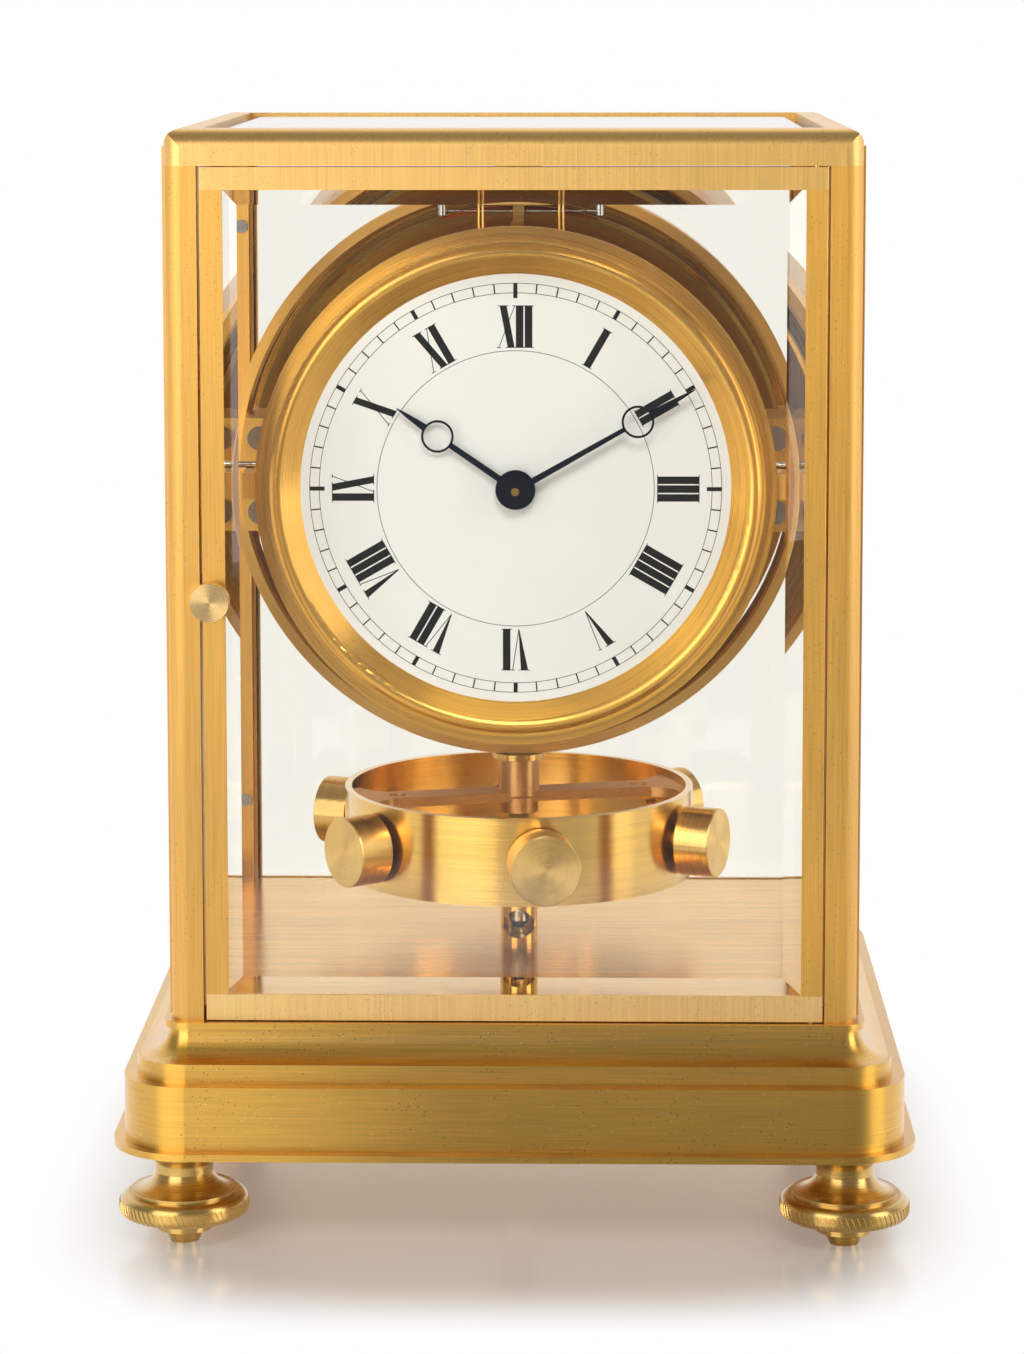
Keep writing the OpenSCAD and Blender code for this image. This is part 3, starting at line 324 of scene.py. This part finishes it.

# %% [markdown]
# ## Which part gets which finish
#
# The frame of the case was rubbed upright, the plinth along its length, the floor of the case from
# side to side. The bezel, drum ring, feet and balance were turned. The rails across the front are
# given a paler colour than the pillars, a painted brightness for the brighter reflection they show.
# Inside the case the drum and the half-round shield behind the dial are darker, and the balance has
# thinner lacquer and crisper lines.

# %% Brass for the case and the base
upright = brass("rubbed upright", (0.86, 0.45, 0.055), rough=0.44, run=(0, 0, 1), pits=0.35)
# The rails' paler colour, palest on the bottom rail, is painted brightness: it stands in for the brighter
# reflection they show.
rails = brass("rubbed upright and bright", (0.96, 0.56, 0.14), rough=0.42, run=(0, 0, 1),
              aniso=0.6, pits=0.3)
low_rail = brass("rubbed upright, low", (1.0, 0.66, 0.24), rough=0.62, run=(0, 0, 1),
                 aniso=0.4, pits=0.3)
sideways = brass("rubbed along the mouldings", (0.80, 0.43, 0.03), rough=0.34, run="level",
                 flecks=0.6, pits=0.6)
floor_brass = brass("floor plate", (0.92, 0.57, 0.22), rough=0.24, run=(1, 0, 0),
                    tone=0.9, pitch=0.5, lacquer=0.05)
print("five finishes for the case")

# %% Brass for the dial, the drum and the movement
dial_axis = (0, 1, 0)
bezel_brass = brass("turned bezel", (0.88, 0.45, 0.04), rough=0.30, centre=dial, axis=dial_axis,
                    pitch=0.5)
ring_brass = brass("turned drum ring", (0.90, 0.49, 0.08), rough=0.36, centre=dial, axis=dial_axis)
drum_brass = brass("drum", (0.56, 0.29, 0.04), rough=0.26, centre=dial, axis=dial_axis, lacquer=0.5)
shield_brass = brass("dark polished shield", (0.46, 0.22, 0.02), rough=0.2, centre=dial,
                     axis=dial_axis, aniso=0.3, flecks=0.5, lacquer=0.3)
polished = brass("polished brass", (0.88, 0.52, 0.11), rough=0.16, run=(1, 0, 0), aniso=0.0, tone=0.3)
plates = brass("movement plates", (0.86, 0.54, 0.17), rough=0.3, run=(0, 0, 1))
print("six finishes behind the glass")

# %% Brass for the balance
first_weight = radians(-82)                     # where one of the six stands, round Z from the right
balance_brass = brass("turned balance", (0.92, 0.54, 0.10), rough=0.2, centre=(0, 0, 0),
                      axis=(0, 0, 1), aniso=0.9, pitch=0.18)
bar_brass = brass("satin crossbar", (0.80, 0.46, 0.18), rough=0.42, run=(1, 0, 0), lacquer=0.3)
weight_brass = brass("turned weights", (0.92, 0.60, 0.20), rough=0.30, centre=(0, 0, balance_z),
                     folds=6, first=first_weight, aniso=0.97, tone=0.35, lacquer=0.15)
print("three finishes for the balance")

# %% Give the parts their finishes
def finish(material, *names):
    for name in names:
        slots = nodes[name].data.materials
        slots.clear()
        slots.append(material)


finish(upright, "front_pillar_left", "front_pillar_right", "rear_pillar_left", "rear_pillar_right",
       "door_hinge_stile", "door_latch_stile", "rear_frame", "side_bezel_left", "side_bezel_right",
       "bracket_left", "bracket_right", "rear_bridge")
finish(rails, "door_top_rail", "top_frame")
finish(low_rail, "door_bottom_rail")
finish(sideways, "base_plinth", "bottom_plate", "lip_plate")
finish(floor_brass, "floor_plate")
finish(bezel_brass, "dial_bezel")
finish(ring_brass, "carrier_ring", "drum_cover")
finish(drum_brass, "drum_housing")
finish(shield_brass, "shield_plate")
finish(balance_brass, "balance_ring", "guard_tube", "guide_post")
finish(bar_brass, "balance_bar")
finish(weight_brass, "balance_weights")
finish(polished, "suspension_bracket", "door_hinge_pins", "lock_lever",
       "minute_arbor", "motion_wheel", "mainspring_barrel", "third_wheel", "escape_wheel",
       "expansion_capsule")
finish(plates, "movement_plates")
print("brass on", sum(len(n.data.materials) == 1 for n in nodes.values()), "parts")

# %% [markdown]
# ## Turned feet and knob
#
# Each levelling foot and the knob turn round their own axis, so each gets a finish with its own
# centre. The collars and the rear feet stand in several places, so their lines simply run level.

# %% Finishes for the feet and the knob
foot_gold = (0.66, 0.40, 0.075)
for side in ("left", "right"):
    centre = middle("levelling_foot_" + side)
    turned_foot = brass("turned foot " + side, foot_gold, rough=0.28,
                        centre=(centre.x, centre.y, 0), axis=(0, 0, 1))
    finish(turned_foot, "levelling_foot_" + side, "foot_tip_" + side)
foot_any = brass("turned collars and rear feet", foot_gold, rough=0.28, run="level", aniso=0.6)
finish(foot_any, "foot_collars", "rear_feet")
turned_knob = brass("turned knob", (0.86, 0.56, 0.20), rough=0.3, centre=knob_axis, axis=(0, 1, 0),
                    aniso=0.9)
finish(turned_knob, "door_knob")
print("feet and knob turned")

# %% [markdown]
# ## Steel, blued hands and enamel
#
# Screws are bright steel, the hands are steel heated until it turns a blue that is nearly black,
# the dial is white enamel under a clear gloss, and the printing on it is a dull black ink. In
# each of them a fine noise moves the colour a little, so that no surface is quite even.

# %% Steel, hands, enamel and ink
def speckled(name, scale, detail, low, high, **settings):
    """A material whose colour wanders between two tones, with the shader's sockets as given."""
    material, tree, shader = fresh(name)
    wire(tree, between(tree, grain(tree, scale, detail), low, high), shader.inputs["Base Color"])
    for key, value in settings.items():
        shader.inputs[key.replace("_", " ")].default_value = value
    return material


steel = speckled("bright steel", 2600.0, 3.0, 0.42, 0.60, Metallic=1.0, Roughness=0.22)
blued = speckled("blued steel", 900.0, 2.0, (0.006, 0.010, 0.022), (0.016, 0.030, 0.070),
                 Metallic=1.0, Roughness=0.2, Coat_Weight=0.4)
enamel = speckled("white enamel", 40.0, 2.0, (0.90, 0.897, 0.885), (0.93, 0.927, 0.915),
                  Roughness=0.25, Coat_Weight=0.3, Coat_Roughness=0.05)
ink = speckled("printing ink", 3000.0, 1.0, 0.003, 0.008, Roughness=0.5, Specular_IOR_Level=0.2)
finish(steel, "fixing_screws", "pallet_lever", "balance_spindle", "balance_wire", "lock_sleeve",
       "capsule_plate")
finish(blued, "minute_hand", "hour_hand")
finish(enamel, "dial_plate")
print("steel, blue, enamel and ink made")

# %% [markdown]
# ## Bevelled glass
#
# The panes are thick plate glass, and the door's has edges ground to a slope. The slope bends what
# is seen through it, so the glass has to refract. Refracting glass would also keep the lamps'
# light out of the case, and so shadow rays and diffuse rays pass it as if it were clear.

# %% Glass that lets light in
glass_tint = (0.997, 0.99, 0.95, 1)
glass_ior = 1.5
glass, tree, shader = fresh("plate glass")
shader.inputs["Base Color"].default_value = glass_tint
shader.inputs["Roughness"].default_value = 0.0
shader.inputs["IOR"].default_value = glass_ior
shader.inputs["Transmission Weight"].default_value = 1.0
clear = put(tree, "BsdfTransparent", Color=(0.96, 0.97, 0.96, 1))
path = put(tree, "LightPath")
either = sums(tree, "MAXIMUM", path.outputs["Is Shadow Ray"], path.outputs["Is Diffuse Ray"])
blend = put(tree, "MixShader")
wire(tree, either, blend.inputs[0])
wire(tree, shader.outputs[0], blend.inputs[1])
wire(tree, clear.outputs[0], blend.inputs[2])
wire(tree, blend.outputs[0], tree.nodes["Material Output"].inputs["Surface"])
finish(glass, "top_glass", "side_glass_left", "side_glass_right", "rear_glass", "door_glass")
print("five panes of glass")

# %% [markdown]
# ## Copies round an axis
#
# Minute ticks and the fine ridges of a knurl all repeat round an axis. One Geometry Nodes tree
# makes them: it lays out one point for each copy, turns each point's copy by its share of the
# circle, joins the copies into one mesh and gives it a material.

# %% A tree that repeats a piece round an axis
def ring_tree():
    tree = bpy.data.node_groups.new("Copies round an axis", "GeometryNodeTree")
    face = tree.interface
    face.new_socket("Piece", in_out="INPUT", socket_type="NodeSocketObject")
    face.new_socket("Count", in_out="INPUT", socket_type="NodeSocketInt")
    face.new_socket("Axis", in_out="INPUT", socket_type="NodeSocketVector")
    face.new_socket("Material", in_out="INPUT", socket_type="NodeSocketMaterial")
    face.new_socket("Geometry", in_out="OUTPUT", socket_type="NodeSocketGeometry")
    new, link = tree.nodes.new, tree.links.new
    start, end = new("NodeGroupInput"), new("NodeGroupOutput")
    points = new("GeometryNodePoints")
    index = new("GeometryNodeInputIndex")
    share = new("ShaderNodeMath")
    share.operation = "DIVIDE"
    angle = new("ShaderNodeMath")
    angle.operation = "MULTIPLY"
    angle.inputs[1].default_value = 2 * pi
    spin = new("FunctionNodeAxisAngleToRotation")
    info = new("GeometryNodeObjectInfo")
    place = new("GeometryNodeInstanceOnPoints")
    real = new("GeometryNodeRealizeInstances")
    paint = new("GeometryNodeSetMaterial")
    link(start.outputs["Count"], points.inputs["Count"])
    link(index.outputs[0], share.inputs[0])
    link(start.outputs["Count"], share.inputs[1])
    link(share.outputs[0], angle.inputs[0])
    link(start.outputs["Axis"], spin.inputs["Axis"])
    link(angle.outputs[0], spin.inputs["Angle"])
    link(start.outputs["Piece"], info.inputs["Object"])
    link(points.outputs[0], place.inputs["Points"])
    link(info.outputs["Geometry"], place.inputs["Instance"])
    link(spin.outputs[0], place.inputs["Rotation"])
    link(place.outputs[0], real.inputs[0])
    link(real.outputs[0], paint.inputs["Geometry"])
    link(start.outputs["Material"], paint.inputs["Material"])
    link(paint.outputs[0], end.inputs[0])
    return tree


copies = ring_tree()
print("tree with", len(copies.nodes), "nodes")

# %% [markdown]
# The tree is used through a modifier. Its inputs are set by their identifiers before the object
# is first evaluated, the result is kept as a plain mesh, and the modifier goes away with its
# helper object. Pieces that are drawn point by point are built as a bmesh and kept by `keep`,
# and `solid` draws the commonest one, a prism from a flat outline.

# %% Use the tree and keep a plain mesh
def ring_of(name, piece, count, axis, material, centre=(0, 0, 0)):
    host = link_in(bpy.data.objects.new(name + " host", bpy.data.meshes.new(name + " host")))
    modifier = host.modifiers.new("Copies", "NODES")
    modifier.node_group = copies
    wanted = {"Piece": piece, "Count": count, "Axis": axis, "Material": material}
    for item in copies.interface.items_tree:
        if item.in_out == "INPUT":
            modifier[item.identifier] = wanted[item.name]
    bpy.context.view_layer.update()
    seen = host.evaluated_get(bpy.context.evaluated_depsgraph_get())
    mesh = bpy.data.meshes.new_from_object(seen)
    host.modifiers.clear()
    bpy.data.objects.remove(host)
    bpy.data.objects.remove(piece)
    mesh.transform(Matrix.Translation(centre))
    print(name, len(mesh.polygons), "faces")
    return link_in(bpy.data.objects.new(name, mesh))


def keep(name, grid, material=None):
    """Make an object of a bmesh, with all its faces outwards."""
    bmesh.ops.recalc_face_normals(grid, faces=grid.faces)
    mesh = bpy.data.meshes.new(name)
    grid.to_mesh(mesh)
    grid.free()
    if material:
        mesh.materials.append(material)
    return link_in(bpy.data.objects.new(name, mesh))


def solid(name, outline, low, high, material=None):
    """A prism from a flat outline of (x, z) points, from depth low to depth high along Y."""
    grid = bmesh.new()
    for depth in (low, high):
        for x, z in outline:
            grid.verts.new((x, depth, z))
    grid.verts.ensure_lookup_table()
    count = len(outline)
    grid.faces.new(grid.verts[:count])
    grid.faces.new(reversed(grid.verts[count:]))
    for i in range(count):
        j = (i + 1) % count
        grid.faces.new((grid.verts[i], grid.verts[i + count], grid.verts[j + count], grid.verts[j]))
    return keep(name, grid, material)


print("ready to repeat")

# %% [markdown]
# ## The minute track
#
# The track is two thin circles with sixty ticks between them, a heavier block at each hour and a
# longer one at three, nine and twelve. A third circle runs inside the numerals. The printing lies
# on the enamel as a film a few hundredths of a millimetre thick, and all its radii are measured
# inwards from the edge of the enamel that shows inside the bezel.

# %% Print the minute track
film_back = dial_front - 0.002 * mm
film_front = dial_front - 0.03 * mm
block_front = film_front - 0.01 * mm            # the hour blocks lie over the ticks
under_lip = 3.4                                 # the bezel's lip covers this much of the plate's edge
dial_r = (dial_high[0] - dial_low[0]) / 2 / mm - under_lip
track_out, track_in, chapter_r = dial_r - 2.33, dial_r - 4.7, dial_r - 18.9
circle_wide, tick_wide, block_wide, block_long = 0.14, 0.33, 1.0, 1.3
here = (dial.x, 0, dial.z)


def bar(width, inner, outer):
    return [(-width / 2 * mm, inner * mm), (width / 2 * mm, inner * mm),
            (width / 2 * mm, outer * mm), (-width / 2 * mm, outer * mm)]


def circle_line(name, radius, sides=240):
    """A thin flat ring round the dial's centre."""
    inner, outer = (radius - circle_wide / 2) * mm, (radius + circle_wide / 2) * mm
    turns = [2 * pi * i / sides for i in range(sides)]
    grid = bmesh.new()
    loops = [[grid.verts.new((r * sin(turn), y, r * cos(turn))) for turn in turns]
             for r, y in ((inner, film_back), (outer, film_back), (outer, film_front), (inner, film_front))]
    for a, b in zip(loops, loops[1:] + loops[:1]):
        for i in range(sides):
            j = (i + 1) % sides
            grid.faces.new((a[i], a[j], b[j], b[i]))
    line = keep(name, grid, ink)
    line.data.transform(Matrix.Translation(here))
    return line


def at_hour(hour):
    """The move that takes a shape drawn at twelve, about the origin, to its hour on the dial."""
    return Matrix.Translation(here) @ Matrix.Rotation(hour * pi / 6, 4, "Y")


tick = solid("tick", bar(tick_wide, track_in, track_out), film_back, film_front)
block = solid("block", bar(block_wide, track_in, track_out), film_back, block_front)
printing = [circle_line("outer track circle", track_out), circle_line("inner track circle", track_in),
            circle_line("chapter circle", chapter_r),
            ring_of("minute ticks", tick, 60, dial_axis, ink, here),
            ring_of("hour blocks", block, 12, dial_axis, ink, here)]
for hour in (3, 9, 12):
    block = solid("long block %d" % hour, bar(block_wide, track_in - block_long, track_in),
                  film_back, film_front, ink)
    block.data.transform(at_hour(hour))
    printing.append(block)
print(len(printing), "pieces of printing")

# %% [markdown]
# ## Roman numerals
#
# The numerals are drawn the old way: heavy strokes of one width, hairline strokes for the second
# arm of V and X, and hairline serifs. Each stroke is a slanted bar, given by where it stands at the
# foot and at the head, and the feet of all numerals point to the centre of the dial. The heavy arm
# of V is a wedge that narrows to its foot.

# %% Print the numerals
numeral_foot, numeral_head = dial_r - 18.1, dial_r - 7.9
heavy, hair = 1.85, 0.2
after_i, after_v_or_x = 0.33, 0.4               # the clear space after a sign


def slanted(foot, head, foot_wide, head_wide):
    low, high = numeral_foot * mm, numeral_head * mm
    return [((foot - foot_wide / 2) * mm, low), ((foot + foot_wide / 2) * mm, low),
            ((head + head_wide / 2) * mm, high), ((head - head_wide / 2) * mm, high)]


def stroke(foot, head, width):
    return slanted(foot, head, width, width)


def serif(centre, reach, r):
    left, right = (centre - reach) * mm, (centre + reach) * mm
    low, high = (r - hair / 2) * mm, (r + hair / 2) * mm
    return [(left, low), (right, low), (right, high), (left, high)]


def letter(sign, x):
    """Strokes of one sign that starts at x, and where the next sign starts, all in mm."""
    if sign == "I":
        centre = x + heavy / 2
        return [stroke(centre, centre, heavy), serif(centre, 1.35, numeral_foot),
                serif(centre, 1.35, numeral_head)], x + heavy + after_i
    if sign == "V":
        thick, thin, foot = x + 0.95, x + 3.9, x + 2.35
        return [slanted(foot, thick, 0.2, 1.8), stroke(foot, thin, hair),
                serif(thick, 1.4, numeral_head), serif(thin, 0.45, numeral_head)], x + 4.45
    thick, thin = x + 1.15, x + 3.95            # heads of the arms of an X
    thick_foot, thin_foot = thin - 0.85, x + 0.1
    return [stroke(thick_foot, thick, heavy * 0.92), stroke(thin_foot, thin, hair),
            serif(thick, 1.3, numeral_head), serif(thin, 0.5, numeral_head),
            serif(thick_foot, 1.3, numeral_foot), serif(thin_foot, 0.5, numeral_foot)], x + 4.25


def numeral(word, hour):
    outlines, x = [], 0.0
    for sign in word:
        strokes, x = letter(sign, x)
        outlines += strokes
    width = x - (after_i if word[-1] == "I" else after_v_or_x)
    grid = bmesh.new()
    for outline in outlines:
        piece = solid("stroke", outline, film_back, film_front)
        grid.from_mesh(piece.data)
        bpy.data.objects.remove(piece)
    result = keep("numeral %d" % hour, grid, ink)
    result.data.transform(at_hour(hour) @ Matrix.Translation((-width / 2 * mm, 0, 0)))
    return result


words = ["I", "II", "III", "IIII", "V", "VI", "VII", "VIII", "IX", "X", "XI", "XII"]
printing += [numeral(word, hour + 1) for hour, word in enumerate(words)]
for piece in printing:
    piece.name = piece.name.replace(" ", "_")
    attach(piece, "case")
print("twelve numerals")

# %% [markdown]
# ## Knurled rims
#
# The rim of each foot and of the door's knob is knurled, so that fingers can turn it. A ridge is
# a thin wedge laid along the rim, slanted on the feet and straight on the knob. It follows the
# rounded edges of the rim. It is made once and repeated by the tree. The rear feet stand in line
# with the front ones, so they take their places from them.

# %% Make the knurls
def ridge(radius, low, high, width, height, slant, rim_top, rounding, steps):
    """One ridge round Z in mm, from low to high on a rim with rounded edges. slant is its drift."""
    grid = bmesh.new()
    rows = []
    for i in range(steps + 1):
        share = i / steps
        z = low + (high - low) * share
        from_edge = min(z - low, rim_top - z)
        drop = rounding - sqrt(max(rounding ** 2 - max(rounding - from_edge, 0) ** 2, 0))
        turn = slant * (share - 0.5)
        half = width / radius / 2
        row = []
        for out, angle in ((-0.5, turn - half), (-0.5, turn + half), (height, turn)):
            r = (radius - drop + out) * mm
            row.append(grid.verts.new((r * cos(angle), r * sin(angle), z * mm)))
        rows.append(row)
    for a, b in zip(rows, rows[1:]):
        for i in range(3):
            j = (i + 1) % 3
            grid.faces.new((a[i], a[j], b[j], b[i]))
    grid.faces.new(rows[0])
    grid.faces.new(reversed(rows[-1]))
    return keep("ridge", grid)


def knurl(name, ridges, count, axis, material, centre, body):
    ring = ring_of(name, ridges, count, axis, material, centre)
    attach(ring, body)


def foot_knurl(name, material, centre, body):
    low, high, rim_top = 6.6, 10.6, 12.2        # heights above the table
    rib_wide, rib_high = 1.15, 0.22
    ridges = ridge(foot_r / mm, low, high, rib_wide, rib_high, radians(-6), rim_top,
                   rounding=2.1, steps=8)
    knurl(name, ridges, 68, (0, 0, 1), material, centre, body)


for side in ("left", "right"):
    foot = "levelling_foot_" + side
    centre = middle(foot)
    own_finish = nodes[foot].data.materials[0]
    foot_knurl("knurl_foot_" + side, own_finish, (centre.x, centre.y, 0), "foot_" + side)
rear_x = (middle("levelling_foot_right").x - middle("levelling_foot_left").x) / 2
rear_y = middle("rear_feet").y
for side, x in (("left", -rear_x), ("right", rear_x)):
    foot_knurl("knurl_rear_" + side, foot_any, (x, rear_y, 0), "case")

knob_thick, edge, rib_wide, rib_high = 4.0, 0.3, 0.3, 0.07
knob_ridge = ridge(knob_r / mm, edge, knob_thick - edge, rib_wide, rib_high, 0.0, knob_thick - edge,
                   rounding=0.2, steps=3)
knob_ridge.data.transform(Matrix.Rotation(radians(90), 4, "X"))
knurl("milled_knob_rim", knob_ridge, 72, (0, 1, 0), turned_knob,
      (knob_axis.x, knob_low[1] + knob_thick * mm, knob_axis.z), "knob")
print("rims knurled")

# %% [markdown]
# ## Floor, backdrop and lamps
#
# A product photograph on white: a pale table that is half a mirror, so the clock keeps a soft shadow
# and a golden reflection under its feet, and that fades into a white surround. The table's warm tint
# is painted: near the clock, where it shows, it stands in for the golden light that the brass throws
# into the shade. The white is in the table and in the surround, and the lamps stay at a plain level.
#
# What the metal mirrors is a different matter from what the camera sees straight or through glass.
# For the metal, a sector of the table in front of the clock is dim, as the dark side of a studio
# is, and that gives the mouldings their depth. A bright strip lies across the sector, like a white
# card in front of the clock, and lights the bottom rail.

# %% A pale table that fades to white
table_reach = 9.0                               # half its width, in metres
fade_from, fade_to, white_nearby = 0.105, 0.146, 0.17
dim = 0.2                                       # the metal sees this much of white in front
left_edge, right_edge = (-26, -4), (40, 58)     # where the dim sector starts and ends, in degrees
card_front, card_back = (-0.54, -0.44), (-0.30, -0.24)


def straight_rays(tree, path):
    """1 for what the camera sees directly or through glass, 0 for what a metal reflects."""
    no_mirror = sums(tree, "LESS_THAN", path.outputs["Glossy Depth"], 0.5)
    through = sums(tree, "MULTIPLY", path.outputs["Is Transmission Ray"], no_mirror)
    return sums(tree, "MAXIMUM", path.outputs["Is Camera Ray"], through)


def slope(tree, value, start, end, low, high):
    """A soft step from low at start to high at end."""
    step = put(tree, "MapRange", interpolation_type="SMOOTHSTEP", From_Min=start, From_Max=end,
               To_Min=low, To_Max=high)
    wire(tree, value, step.inputs["Value"])
    return step.outputs[0]


def dim_in_front(tree, place):
    """What the metal sees of the table: white, but for a dim sector with a bright strip across."""
    parts = put(tree, "SeparateXYZ")
    wire(tree, place, parts.inputs[0])
    across, along = parts.outputs[0], parts.outputs[1]
    azimuth = sums(tree, "ARCTAN2", across, sums(tree, "MULTIPLY", along, -1.0))
    left = slope(tree, azimuth, radians(left_edge[0]), radians(left_edge[1]), 1.0, dim)
    right = slope(tree, azimuth, radians(right_edge[0]), radians(right_edge[1]), dim, 1.0)
    card = sums(tree, "MULTIPLY", slope(tree, along, *card_front, 0.0, 1.0),
                slope(tree, along, *card_back, 1.0, 0.0))
    return sums(tree, "MAXIMUM", card, sums(tree, "MAXIMUM", left, right))


table_mesh = bpy.data.meshes.new("Table")
corners = [(x * table_reach, y * table_reach, 0) for x, y in ((-1, -1), (1, -1), (1, 1), (-1, 1))]
table_mesh.from_pydata(corners, [], [(0, 1, 2, 3)])
table = link_in(bpy.data.objects.new("Table", table_mesh))
pale, tree, shader = fresh("pale table")
# The warm tint is painted light: it stands in for the golden light the brass throws into the shade under
# the clock.
shader.inputs["Base Color"].default_value = (0.80, 0.735, 0.645, 1)
shader.inputs["Metallic"].default_value = 0.45
shader.inputs["Roughness"].default_value = 0.2
place = put(tree, "TexCoord").outputs["Object"]
flat = vectors(tree, "MULTIPLY", place, (1.2, 1.0, 0.0))
squares = vectors(tree, "MULTIPLY", flat, flat)
away = sums(tree, "SQRT", vectors(tree, "LENGTH", squares))      # grows in rounded squares
fade = slope(tree, away, fade_from, fade_to, white_nearby, 1.0)
path = put(tree, "LightPath")
mirrored = sums(tree, "MAXIMUM", path.outputs["Is Transmission Ray"], path.outputs["Is Glossy Ray"])
seen = sums(tree, "MAXIMUM", path.outputs["Is Camera Ray"], mirrored)
glow = put(tree, "Emission", Color=(1, 1, 1, 1))
strength = sums(tree, "MAXIMUM", straight_rays(tree, path), dim_in_front(tree, place))
wire(tree, strength, glow.inputs["Strength"])
blend = put(tree, "MixShader")
wire(tree, sums(tree, "MULTIPLY", fade, seen), blend.inputs[0])
wire(tree, shader.outputs[0], blend.inputs[1])
wire(tree, glow.outputs[0], blend.inputs[2])
wire(tree, blend.outputs[0], tree.nodes["Material Output"].inputs["Surface"])
table_mesh.materials.append(pale)
print("table", 2 * table_reach, "m wide")

# %% [markdown]
# Polished metal shows the room. Behind the clock is the white backdrop, and on the camera's side
# the studio is dim, so the surround is white behind and dim in front for every ray that doesn't
# come straight from the camera or through glass. A tall softbox stands on either side of the
# camera. A third lamp is for the enamel and the table alone: it doesn't show in the metal.

# %% White surround and lamps
behind_from, behind_to, front_dim = 0.05, 0.65, 0.27
world = bpy.data.worlds.new("Surround")
bpy.context.scene.world = world
world.use_nodes = True
tree = world.node_tree
tree.nodes.clear()
way = put(tree, "SeparateXYZ")
wire(tree, put(tree, "TexCoord").outputs["Generated"], way.inputs[0])
behind = slope(tree, way.outputs[1], behind_from, behind_to, front_dim, 1.0)
seen = straight_rays(tree, put(tree, "LightPath"))
surround = put(tree, "Background", Color=(1, 1, 1, 1))
wire(tree, sums(tree, "MAXIMUM", behind, seen), surround.inputs["Strength"])
wire(tree, surround.outputs[0], put(tree, "OutputWorld").inputs[0])


def lamp(name, azimuth, height, size, radiance, in_metal=True):
    """An area lamp that faces the clock, with azimuth 0 in front and positive to the right."""
    away, aim = 1.15, Vector((0, 0, 0.15))
    data = bpy.data.lights.new(name, "AREA")
    data.shape = "RECTANGLE"
    data.size, data.size_y = size
    data.energy = radiance * pi * size[0] * size[1]
    thing = link_in(bpy.data.objects.new(name, data))
    thing.location = (away * sin(radians(azimuth)), -away * cos(radians(azimuth)), height)
    thing.rotation_euler = (aim - thing.location).to_track_quat("-Z", "Y").to_euler()
    thing.visible_glossy = in_metal


lamp("Left softbox", -32, 0.42, size=(0.86, 0.9), radiance=2.4)
lamp("Right softbox", 66, 0.42, size=(0.54, 0.9), radiance=2.6)
lamp("Fill for the enamel", 4, 1.0, size=(0.6, 0.4), radiance=10.8, in_metal=False)
print("two softboxes, a fill and a white surround")

# %% [markdown]
# ## The end
#
# The picture is shown with the plain Standard transform, so a colour looks as it was written.

# %% Show the picture with the Standard transform
bpy.context.scene.view_settings.view_transform = "Standard"
